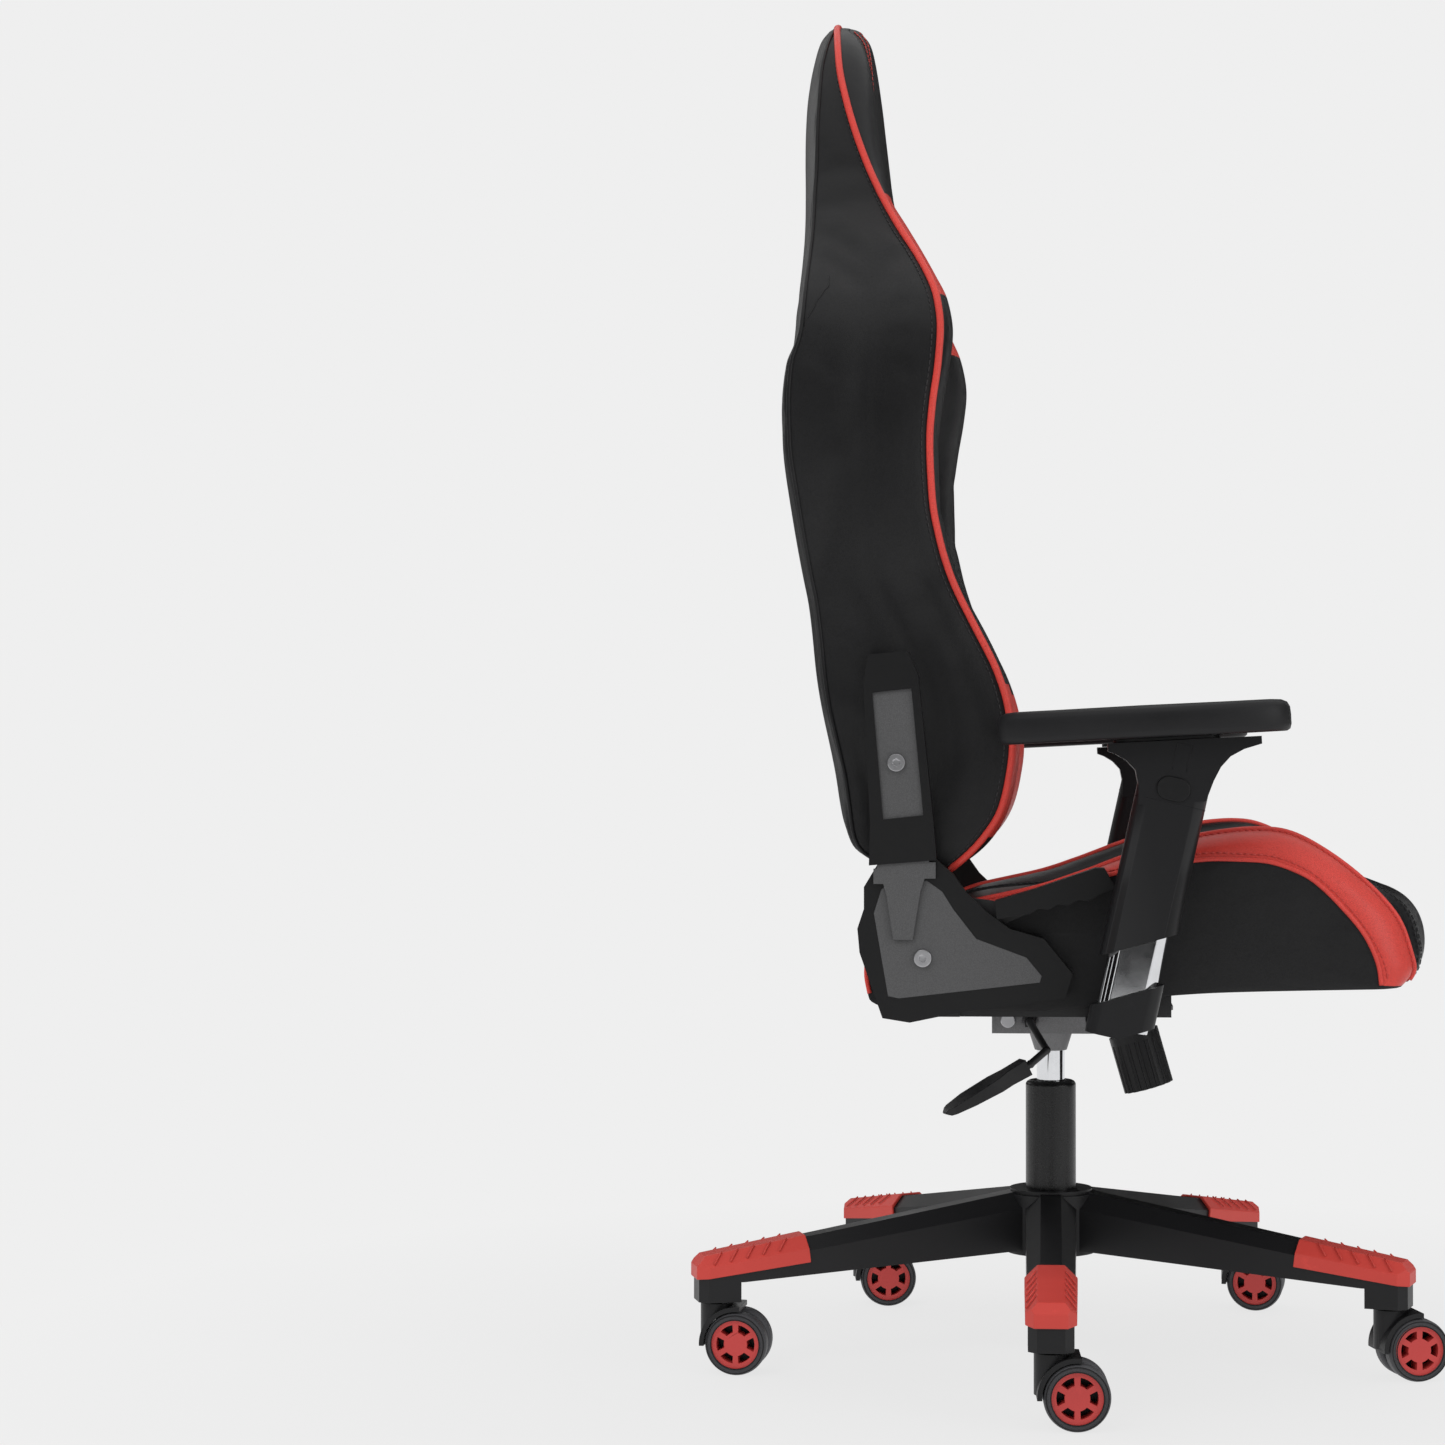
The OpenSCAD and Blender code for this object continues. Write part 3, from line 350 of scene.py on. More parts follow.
FINISHES = {
    "hide_rear": hide("hide_rear", BLACK_HIDE, 0.42),
    "hide_side": hide("hide_side", BLACK_HIDE, 0.42),
    "hide_wing": wing_hide("hide_wing"),
    "hide_middle": hide("hide_middle", BLACK_HIDE, 0.38),
    "hide_band": hide("hide_band", RED_HIDE, 0.34),
    "hide_inner": hide("hide_inner", BLACK_HIDE, 0.36),
    "hide_seat": hide("hide_seat", BLACK_HIDE, 0.30),
    "hide_panel": hide("hide_panel", BLACK_HIDE, 0.45),
    "piping_red": hide("piping_red", (0.60, 0.05, 0.038), 0.34),
    "under_cloth": soft_rubber("under_cloth", (0.012, 0.012, 0.013), 0.8),
    "thread_black": thread("thread_black", (0.03, 0.03, 0.032)),
    "thread_red": thread("thread_red", (0.55, 0.05, 0.04)),
    "nylon_black": moulding("nylon_black", (0.0085, 0.0085, 0.0095), 0.40),
    "cover_black": moulding("cover_black", (0.006, 0.006, 0.0065), 0.46, 0.4),
    "trim_red": moulding("trim_red", (0.56, 0.052, 0.040), 0.46),
    "hub_red": moulding("hub_red", (0.50, 0.050, 0.046), 0.34, 0.1),
    "bush_natural": moulding("bush_natural", (0.72, 0.69, 0.6), 0.4),
    "tube_black": powder_coat("tube_black", (0.006, 0.006, 0.0065), 0.3),
    "frame_black": powder_coat("frame_black", (0.014, 0.014, 0.015), 0.45),
    "plate_grey": powder_coat("plate_grey", (0.075, 0.075, 0.077), 0.6),
    "mech_grey": powder_coat("mech_grey", (0.20, 0.20, 0.205), 0.5),
    "chrome": plated("chrome", (0.82, 0.83, 0.85), 0.06),
    "steel": plated("steel", (0.62, 0.62, 0.64), 0.24, 0.06),
    "pad_black": soft_rubber("pad_black", (0.008, 0.008, 0.0088), 0.5),
    "tyre_grey": soft_rubber("tyre_grey", (0.05, 0.05, 0.054), 0.5),
    "tyre_edge": soft_rubber("tyre_edge", (0.008, 0.008, 0.009), 0.55),
}
NODE_BODY = {node: body for body, nodes in frame["record"]["behaviour"]["bodies"].items() for node in nodes}
NODE_SLOT = {part["node"]: part["material_slot"] for part in frame["record"]["subparts"]}


# ---- Making and placing pieces ----

def new_piece(name, mesh, body, slot, *finishes, smooth=True, replaces=()):
    """Puts a mesh in the scene as a piece that rides on a body."""
    piece = bpy.data.objects.new(name, mesh)
    bpy.context.scene.collection.objects.link(piece)
    for finish in finishes:
        mesh.materials.append(FINISHES[finish])
    if smooth:
        mesh.shade_smooth()
    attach(piece, body)
    if replaces:
        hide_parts(*replaces)
    return piece


def mesh_from(name, points, faces):
    mesh = bpy.data.meshes.new(name)
    mesh.from_pydata([tuple(p) for p in points], [], faces)
    mesh.update()
    return mesh


def faces_out(mesh):
    """Turns every face outward, after merging doubles."""
    form = bmesh.new()
    form.from_mesh(mesh)
    bmesh.ops.remove_doubles(form, verts=form.verts, dist=1e-6)
    bmesh.ops.recalc_face_normals(form, faces=form.faces)
    form.to_mesh(mesh)
    form.free()
    return mesh


def rounded_copy(node, bevel, finish=None):
    """A copy of a CAD node with its edges rounded, which stands for the node."""
    mesh = frame["nodes"][node].data.copy()
    mesh.materials.clear()
    form = bmesh.new()
    form.from_mesh(mesh)
    bmesh.ops.remove_doubles(form, verts=form.verts, dist=2e-6)
    bmesh.ops.dissolve_limit(form, angle_limit=math.radians(1.0), verts=form.verts, edges=form.edges)
    bmesh.ops.recalc_face_normals(form, faces=form.faces)
    edge_angle, shading_angle = math.radians(28), math.radians(50)
    sharp = [e for e in form.edges if len(e.link_faces) == 2 and e.calc_face_angle(0) > edge_angle]
    bmesh.ops.bevel(form, geom=sharp, offset=bevel, segments=2, profile=0.6, affect="EDGES",
                    clamp_overlap=True, loop_slide=True)
    bmesh.ops.remove_doubles(form, verts=form.verts, dist=2e-6)
    form.to_mesh(mesh)
    form.free()
    mesh.shade_smooth()
    mesh.set_sharp_from_angle(angle=shading_angle)
    holder = bpy.data.objects.new("holder", mesh)
    bpy.context.scene.collection.objects.link(holder)
    even = holder.modifiers.new("even", "WEIGHTED_NORMAL")
    even.keep_sharp = True
    shaded = bpy.data.meshes.new_from_object(holder.evaluated_get(bpy.context.evaluated_depsgraph_get()))
    bpy.data.objects.remove(holder)
    slot = NODE_SLOT[node]
    return new_piece(node + "_finished", shaded, NODE_BODY[node], slot, finish or slot,
                     smooth=False, replaces=[node])


def curve_through(points):
    """A smooth curve through (t, value) points, as a function of t. It doesn't overshoot."""
    knots = [Vector(p) for p in points]
    slopes = [(b.y - a.y) / (b.x - a.x) for a, b in zip(knots, knots[1:])]
    tangents = [slopes[0]]
    for before, after in zip(slopes, slopes[1:]):
        tangents.append(0 if before * after <= 0 else 2 * before * after / (before + after))
    tangents.append(slopes[-1])

    def value(t):
        if t <= knots[0].x:
            return knots[0].y
        for i, (a, b) in enumerate(zip(knots, knots[1:])):
            if t <= b.x:
                h = b.x - a.x
                s = (t - a.x) / h
                return ((1 + 2 * s) * (1 - s) ** 2 * a.y + s * (1 - s) ** 2 * h * tangents[i]
                        + s * s * (3 - 2 * s) * b.y + s * s * (s - 1) * h * tangents[i + 1])
        return knots[-1].y
    return value


def spline(points, steps):
    """Points along a smooth open curve through the given points, steps to each span."""
    ends = [2 * points[0] - points[1], *points, 2 * points[-1] - points[-2]]
    made = []
    for a, b, c, d in zip(ends, ends[1:], ends[2:], ends[3:]):
        for k in range(steps):
            t = k / steps
            made.append(0.5 * (2 * b + (c - a) * t + (2 * a - 5 * b + 4 * c - d) * t * t
                               + (3 * b - 3 * c + d - a) * t ** 3))
    return made + [points[-1]]


def tube_mesh(name, paths, radius, sides=10):
    """Round tubes along paths of points; a path whose ends meet is closed."""
    points, faces = [], []
    for path in paths:
        closed = (path[0] - path[-1]).length < 1e-6
        ring_at = path[:-1] if closed else path
        count, base = len(ring_at), len(points)
        up = Vector((0.3, 0.2, 1)).normalized()
        for i, p in enumerate(ring_at):
            after = ring_at[(i + 1) % count] if closed or i < count - 1 else p
            before = ring_at[i - 1] if closed or i > 0 else p
            along = (after - before).normalized()
            side = along.cross(up).normalized()
            up = side.cross(along).normalized()
            points += [p + radius * (side * math.cos(a) + up * math.sin(a))
                       for a in (2 * math.pi * k / sides for k in range(sides))]
        spans = count if closed else count - 1
        for i in range(spans):
            for k in range(sides):
                a, b = base + i * sides, base + (i + 1) % count * sides
                faces.append((a + k, a + (k + 1) % sides, b + (k + 1) % sides, b + k))
        if not closed:
            faces.append(tuple(base + k for k in reversed(range(sides))))
            faces.append(tuple(base + (count - 1) * sides + k for k in range(sides)))
    return faces_out(mesh_from(name, points, faces))


# ---- Upholstery ----

class Skin:
    """A closed upholstered form built from a grid of points, which keeps where its seams run."""

    def __init__(self, name):
        self.name, self.points, self.faces, self.finishes = name, [], [], []

    def grid(self, rows):
        """Adds rows of points and returns their numbers."""
        numbers = []
        for row in rows:
            numbers.append(list(range(len(self.points), len(self.points) + len(row))))
            self.points += row
        return numbers

    def fill(self, numbers, finish_of, around=False):
        """Joins neighbouring rows with faces. finish_of(row, column) gives each face's finish."""
        for r, (low, high) in enumerate(zip(numbers, numbers[1:])):
            count = len(low)
            for c in range(count if around else count - 1):
                d = (c + 1) % count
                self.faces.append((low[c], low[d], high[d], high[c]))
                self.finishes.append(finish_of(r, c))

    def piece(self, body, slot, node, fill):
        """Makes the padded piece that stands for a CAD node."""
        names = sorted(set(self.finishes))
        mesh = mesh_from(self.name, self.points, self.faces)
        mesh.polygons.foreach_set("material_index", [names.index(f) for f in self.finishes])
        form = bmesh.new()
        form.from_mesh(mesh)
        bmesh.ops.recalc_face_normals(form, faces=form.faces)
        form.to_mesh(mesh)
        form.free()
        made = new_piece(self.name, mesh, body, slot, *names, replaces=[node])
        return made


def inflate(piece, seams, cap, ease=None, pressure=4.0):
    """Lets the skin bulge between its seams, by at most cap, and less where ease is below 1."""
    mesh = piece.data
    rest = [v.co.copy() for v in mesh.vertices]
    group = piece.vertex_groups.new(name="seams")
    group.add(sorted(seams), 1.0, "REPLACE")
    cloth = piece.modifiers.new("skin", "CLOTH")
    cloth.settings.quality = 5
    cloth.settings.mass = 0.25
    cloth.settings.tension_stiffness = 25
    cloth.settings.compression_stiffness = 25
    cloth.settings.shear_stiffness = 8
    cloth.settings.bending_stiffness = 1.5
    cloth.settings.vertex_group_mass = "seams"
    cloth.settings.use_pressure = True
    cloth.settings.uniform_pressure_force = pressure
    cloth.settings.effector_weights.gravity = 0
    cloth.collision_settings.use_collision = False
    cloth.point_cache.frame_start, cloth.point_cache.frame_end = 1, 20
    scene = bpy.context.scene
    scene.frame_start, scene.frame_end = 1, 20
    for frame_number in range(1, 21):
        scene.frame_set(frame_number)
    evaluated = piece.evaluated_get(bpy.context.evaluated_depsgraph_get())
    moved = [v.co.copy() for v in evaluated.data.vertices]
    piece.modifiers.remove(cloth)
    scene.frame_set(1)
    for v, a, b in zip(mesh.vertices, rest, moved):
        step = b - a
        if step.length > 1e-9:
            step *= cap * math.tanh(step.length / cap) / step.length
        v.co = a + step * (ease(a) if ease else 1.0)


def pucker(piece, seams, depth, reach=3, ease=None):
    """Gathers the skin into small folds beside the seams."""
    form = bmesh.new()
    form.from_mesh(piece.data)
    form.verts.ensure_lookup_table()
    near, edge = {i: 0 for i in seams}, list(seams)
    for ring in range(1, reach + 1):
        found = []
        for i in edge:
            for link in form.verts[i].link_edges:
                j = link.other_vert(form.verts[i]).index
                if j not in near:
                    near[j] = ring
                    found.append(j)
        edge = found
    form.normal_update()
    moves = {}
    for i, ring in near.items():
        if ring:
            v = form.verts[i]
            fold = noise.noise(v.co * 55) + 0.5 * noise.noise(v.co * 140)
            moves[i] = v.normal * (depth * fold * (1.25 - ring / reach) * (ease(v.co) if ease else 1.0))
    for i, move in moves.items():
        form.verts[i].co += move
    form.to_mesh(piece.data)
    form.free()


def subdivided(piece):
    """One round of subdivision on the mesh itself. The first vertices keep their numbers."""
    rounder = piece.modifiers.new("round", "SUBSURF")
    rounder.levels = rounder.render_levels = 1
    rounder.boundary_smooth = "PRESERVE_CORNERS"
    depsgraph = bpy.context.evaluated_depsgraph_get()
    mesh = bpy.data.meshes.new_from_object(piece.evaluated_get(depsgraph))
    piece.modifiers.remove(rounder)
    old = piece.data
    piece.data = mesh
    bpy.data.meshes.remove(old)
    mesh.shade_smooth()


def lerp(a, b, t):
    return a + (b - a) * t


def piping(name, paths, body, slot, lift=0.0015, radius=0.0034, finish="piping_red"):
    """A piped edge along runs of (point, outward direction)."""
    runs = [[p + n * lift for p, n in path] for path in paths]
    return new_piece(name, tube_mesh(name, runs, radius), body, slot, finish)


def run_along(piece, numbers):
    """The points and outward directions of a seam, from its vertex numbers."""
    return [(piece.data.vertices[i].co.copy(), piece.data.vertices[i].normal.copy()) for i in numbers]


def stitch_tree():
    """A node tree that sews a row of stitches along every line of a mesh."""
    tree = bpy.data.node_groups.new("stitches", "GeometryNodeTree")
    face = tree.interface
    face.new_socket("Lines", in_out="INPUT", socket_type="NodeSocketGeometry")
    for name, value in (("Spacing", 0.0062), ("Length", 0.0044), ("Thickness", 0.00055)):
        face.new_socket(name, in_out="INPUT", socket_type="NodeSocketFloat").default_value = value
    face.new_socket("Seed", in_out="INPUT", socket_type="NodeSocketInt").default_value = 3
    face.new_socket("Thread", in_out="INPUT", socket_type="NodeSocketMaterial")
    face.new_socket("Stitches", in_out="OUTPUT", socket_type="NodeSocketGeometry")
    add, join = tree.nodes.new, tree.links.new
    given, made = add("NodeGroupInput"), add("NodeGroupOutput")
    curve = add("GeometryNodeMeshToCurve")
    points = add("GeometryNodeCurveToPoints")
    points.mode = "LENGTH"
    bar = add("GeometryNodeMeshCylinder")
    bar.inputs["Vertices"].default_value = 6
    size = add("FunctionNodeRandomValue")
    size.data_type = "FLOAT"
    low, high = [socket for socket in size.inputs if socket.type == "VALUE"][:2]
    low.default_value, high.default_value = 0.86, 1.08
    place = add("GeometryNodeInstanceOnPoints")
    real, paint = add("GeometryNodeRealizeInstances"), add("GeometryNodeSetMaterial")
    join(given.outputs["Lines"], curve.inputs["Mesh"])
    join(curve.outputs["Curve"], points.inputs["Curve"])
    join(given.outputs["Spacing"], points.inputs["Length"])
    join(given.outputs["Thickness"], bar.inputs["Radius"])
    join(given.outputs["Length"], bar.inputs["Depth"])
    join(given.outputs["Seed"], size.inputs["Seed"])
    join(points.outputs["Points"], place.inputs["Points"])
    join(points.outputs["Rotation"], place.inputs["Rotation"])
    join(bar.outputs["Mesh"], place.inputs["Instance"])
    join(next(socket for socket in size.outputs if socket.type == "VALUE"), place.inputs["Scale"])
    join(place.outputs["Instances"], real.inputs["Geometry"])
    join(real.outputs["Geometry"], paint.inputs["Geometry"])
    join(given.outputs["Thread"], paint.inputs["Material"])
    join(paint.outputs["Geometry"], made.inputs["Stitches"])
    return tree


STITCHES = stitch_tree()


def sewn(name, lines, body, slot, thread_finish, seed=3):
    """One row of stitches along each line of points."""
    points, edges = [], []
    for line in lines:
        edges += [(len(points) + i, len(points) + i + 1) for i in range(len(line) - 1)]
        points += [tuple(p) for p in line]
    mesh = bpy.data.meshes.new(name)
    mesh.from_pydata(points, edges, [])
    guide = bpy.data.objects.new(name + "_guide", mesh)
    bpy.context.scene.collection.objects.link(guide)
    sewing = guide.modifiers.new("sewing", "NODES")
    sewing.node_group = STITCHES
    sockets = {item.name: item.identifier for item in STITCHES.interface.items_tree if item.in_out == "INPUT"}
    sewing[sockets["Seed"]] = seed
    sewing[sockets["Thread"]] = FINISHES[thread_finish]
    guide.update_tag()
    bpy.context.view_layer.update()
    result = bpy.data.meshes.new_from_object(guide.evaluated_get(bpy.context.evaluated_depsgraph_get()))
    bpy.data.objects.remove(guide)
    result.materials.clear()
    return new_piece(name, result, body, slot, thread_finish)


def beside(piece, seam, neighbour, away, lift=0.0004):
    """A line on the skin, a little way from a seam towards the neighbouring row of vertices."""
    line = []
    for i, j in zip(seam, neighbour):
        a, b = piece.data.vertices[i], piece.data.vertices[j]
        step = b.co - a.co
        line.append(a.co + step.normalized() * min(away, 1.6 * step.length) + b.normal * lift)
    return line


# The back, in millimetres: height, half width, rear edge, piped edge, wing crest, centre, rear crown
BACK_SHAPE = [
    (489, 238, -150, -97, -92, -108, 0),
    (496, 241, -162, -86, -80, -100, 0),
    (508, 242, -181, -72, -64, -95, 0),
    (524, 243, -188, -58, -50, -92, 0),
    (545, 243, -191, -45, -39, -90, 0),
    (573, 243, -195, -38, -32, -86, 0),
    (605, 243, -202, -34, -28, -86, 0),
    (640, 243, -210, -38, -33, -91, 0),
    (673, 243, -215, -48, -43, -101, 0),
    (705, 244, -218, -64, -58, -110, 0),
    (738, 246, -222, -81, -76, -120, 0),
    (758, 248, -226, -90, -85, -124, 0),
    (793, 254, -232, -101, -96, -131, 0),
    (832, 260, -238, -108, -103, -137, 0),
    (882, 266, -245, -110, -105, -137, 0),
    (920, 269, -246, -107, -101, -136, 0),
    (955, 267, -244, -102, -94, -136, 0),
    (988, 261, -235, -100, -90, -138, 0),
    (1019, 247, -233, -104, -95, -141, 0),
    (1045, 226, -232, -114, -107, -144, 1),
    (1069, 202, -231, -127, -119, -148, 2),
    (1100, 176, -230, -145, -136, -152, 4),
    (1131, 155, -230, -161, -153, -158, 6),
    (1162, 141, -229, -175, -161, -162, 9),
    (1197, 130, -229, -188, -167, -166, 11),
    (1234, 116, -228, -199, -171, -170, 13),
    (1265, 98, -227, -206, -175, -172, 14),
    (1290, 77, -224, -209, -181, -175, 14),
    (1308, 54, -221, -211, -190, -179, 13),
    (1319, 34, -218, -212, -200, -187, 9),
]
REAR_COLUMNS, CORNER_COLUMNS, SIDE_COLUMNS = 9, 3, 16
FRONT_COLUMNS, INNER_COLUMNS, MIDDLE_COLUMNS = 7, 9, 11
REAR_SEAM = REAR_COLUMNS + CORNER_COLUMNS
PIPED_SEAM = REAR_SEAM + SIDE_COLUMNS
CREST = PIPED_SEAM + FRONT_COLUMNS
INNER_SEAM = CREST + INNER_COLUMNS
CENTRE = INNER_SEAM + MIDDLE_COLUMNS
BACK_ROWS, CAP_STEPS = 112, 12
HEAD_RISE, FOOT_DROP = 0.0085, 0.0005
CROSS_SEAMS = (0.70, 0.90, 1.085)


def back_rows():
    """Half outlines of the back, from the rear's middle round to the front's middle, row by row."""
    along = [0.0]
    for a, b in zip(BACK_SHAPE, BACK_SHAPE[1:]):
        along.append(along[-1] + math.hypot(b[0] - a[0], 0.7 * (b[1] - a[1])) + 6)
    curves = [curve_through([(t, row[k]) for t, row in zip(along, BACK_SHAPE)]) for k in range(7)]
    for r in range(BACK_ROWS + 1):
        yield [curve(along[-1] * r / BACK_ROWS) for curve in curves]


def bump_at(value, centre, width):
    return math.exp(-((value - centre) / width) ** 2)


def back_half_row(height, half, rear, piped, crest, centre, crown):
    """One half outline of the back, in metres."""
    made = []
    crest_y = half - min(30, 0.25 * half)
    inner_y = 0.62 * half
    inner = centre + 0.18 * (crest - centre)
    wing = min(1, max(0, (1130 - height) / 90)) * min(1, max(0.25, (height - 480) / 110))
    for c in range(REAR_COLUMNS):
        u = c / REAR_COLUMNS
        made.append((rear + 3 * (1 - u ** 4) - crown * (1 - u * u) ** 0.7, u * (half - 5)))
    for c in range(CORNER_COLUMNS):
        u = c / CORNER_COLUMNS * math.pi / 2
        made.append((rear + 5 - 5 * math.cos(u), half - 5 + 5 * math.sin(u)))
    for c in range(SIDE_COLUMNS):
        u = c / SIDE_COLUMNS
        x = lerp(rear + 5, piped, u)
        roll = 4.5 * bump_at(x, piped - 22, 20) - 9 * bump_at(x, piped - 60, 24)
        made.append((x, half + wing * roll - 1.0 * (1 - wing) * math.sin(math.pi * u)))
    for c in range(FRONT_COLUMNS):
        u = c / FRONT_COLUMNS * math.pi / 2
        made.append((piped + (crest - piped) * math.sin(u) ** 0.9,
                     half - (half - crest_y) * (1 - math.cos(u))))
    for c in range(INNER_COLUMNS):
        u = c / INNER_COLUMNS * math.pi / 2
        made.append((inner - 4 + (crest - inner + 4) * math.cos(u),
                     crest_y - (crest_y - inner_y) * math.sin(u)))
    for c in range(MIDDLE_COLUMNS + 1):
        u = 1 - c / MIDDLE_COLUMNS
        made.append((lerp(centre, inner, u * u) - 5 * u ** 8, inner_y * u))
    return [Vector((x, y, height)) * MM for x, y in made]


def mirrored(p):
    return Vector((p.x, -p.y, p.z))


def dome(share):
    """Height of a half ellipse at a share of its width."""
    return math.sqrt(max(0.0, 4 * share * (1 - share)))


def back_upholstery():
    """The back's skin: rear panel, side panels, wings and middle, joined at seams."""
    halves = [back_half_row(*row) for row in back_rows()]
    rows = [half + [mirrored(p) for p in reversed(half[1:-1])] for half in halves]
    around = len(rows[0])
    skin = Skin("back_upholstery")
    numbers = skin.grid(rows)

    def finish_of(row, column):
        c = min(column, around - 1 - column)
        if c < REAR_SEAM:
            return "hide_rear"
        if c < PIPED_SEAM:
            return "hide_side"
        return "hide_wing" if c < INNER_SEAM else "hide_middle"

    skin.fill(numbers, finish_of, around=True)
    caps = ((numbers[0], -FOOT_DROP, "under_cloth"), (numbers[-1], HEAD_RISE, "hide_rear"))
    for ring, bulge, cap_finish in caps:
        rear_x, front_x = (pick(skin.points[i].x for i in ring) for pick in (min, max))
        lines = [ring[:CENTRE + 1]]
        other = [ring[0]] + ring[:CENTRE - 1:-1]
        for k in range(1, CAP_STEPS):
            line = []
            for a, b in zip(ring[:CENTRE + 1], other):
                if a == b:
                    line.append(a)
                    continue
                p = lerp(skin.points[a], skin.points[b], k / CAP_STEPS)
                share = (p.x - rear_x) / (front_x - rear_x)
                rise = math.sin(math.pi * k / CAP_STEPS) * dome(share) * bulge
                skin.points.append(p + Vector((0, 0, rise)))
                line.append(len(skin.points) - 1)
            lines.append(line)
        lines.append(other)
        for low, high in zip(lines, lines[1:]):
            for c in range(CENTRE):
                face = list(dict.fromkeys((low[c], low[c + 1], high[c + 1], high[c])))
                if len(face) > 2:
                    skin.faces.append(tuple(face))
                    skin.finishes.append(cap_finish)
    piece = skin.piece("back", "leather_black", "back_cushion", 0.85)
    columns = {c: [row[c] for row in numbers] for c in range(around)}
    mirror = {c: columns[(around - c) % around] for c in range(around)}
    seams = set(numbers[0])
    for c in (REAR_SEAM, PIPED_SEAM, INNER_SEAM):
        seams.update(columns[c] + mirror[c])
    heights = [skin.points[row[0]].z for row in numbers]
    cross = [min(range(len(heights)), key=lambda r: abs(heights[r] - z)) for z in CROSS_SEAMS]
    middle = range(INNER_SEAM, around - INNER_SEAM + 1)
    for r in cross:
        seams.update(numbers[r][c] for c in middle)
    seams.update(range(len(rows) * around, len(skin.points)))
    return piece, seams, columns, mirror, numbers, cross, middle


# The seat's loops: (x, height) in millimetres from the rear's foot over the top to the front's foot
SIDE_LOOP = [
    (-168, 366), (-173, 394), (-167, 421), (-150, 431), (-110, 434), (-75, 438), (-60, 448),
    (-9, 470), (48, 485), (95, 494), (140, 500), (170, 500), (200, 498), (227, 489), (246, 477),
    (269, 454), (287, 432), (299, 406), (303, 382),
]
CREST_LOOP = [
    (-169, 381), (-174, 401), (-166, 421), (-150, 431), (-115, 442), (-79, 457), (-13, 472),
    (30, 486), (72, 502), (110, 514), (150, 523), (190, 527), (222, 523), (257, 504), (291, 477),
    (319, 445), (331, 412), (333, 396), (322, 382),
]
INNER_LOOP = [
    (-169, 381), (-174, 401), (-166, 421), (-146, 435), (-110, 446), (-68, 458), (-11, 463),
    (40, 466), (80, 470), (120, 474), (160, 477), (200, 479), (240, 480), (275, 480), (305, 476),
    (333, 458), (346, 428), (346, 402), (333, 384),
]
MIDDLE_LOOP = [
    (-169, 381), (-174, 401), (-166, 421), (-146, 435), (-110, 444), (-80, 453), (-20, 460),
    (40, 464), (90, 466), (130, 467), (170, 468), (210, 469), (250, 471), (285, 474), (318, 474),
    (346, 463), (362, 437), (363, 409), (350, 385),
]
SKIRT = curve_through([(-175, 366), (-150, 360), (-40, 359), (33, 363), (104, 374), (160, 378), (303, 382)])
BAND_COLUMNS, DROP_COLUMNS, SEAT_COLUMNS = 8, 9, 15
DROP_SEAM = BAND_COLUMNS + DROP_COLUMNS
LOOP_STEPS, UNDER_STEPS = 7, 40
SIDE_Y, CREST_Y, INNER_Y = 243, 213, 164
PANEL_HUB, PANEL_Y = (75, 0, 432), 0.2442
PANEL_SHARES = (0.95, 0.86, 0.74, 0.6, 0.45, 0.3, 0.15)


def seat_loop(points, skirt=False):
    """A closed loop over the seat's top and back along its underside, which hangs lower as a skirt."""
    over = spline([Vector((x, z, 0)) for x, z in points], LOOP_STEPS)
    start, end = over[0], over[-1]
    under = [lerp(end, start, k / UNDER_STEPS) for k in range(1, UNDER_STEPS)]
    if skirt:
        under = [Vector((p.x, SKIRT(p.x), 0)) for p in under]
    return over + under


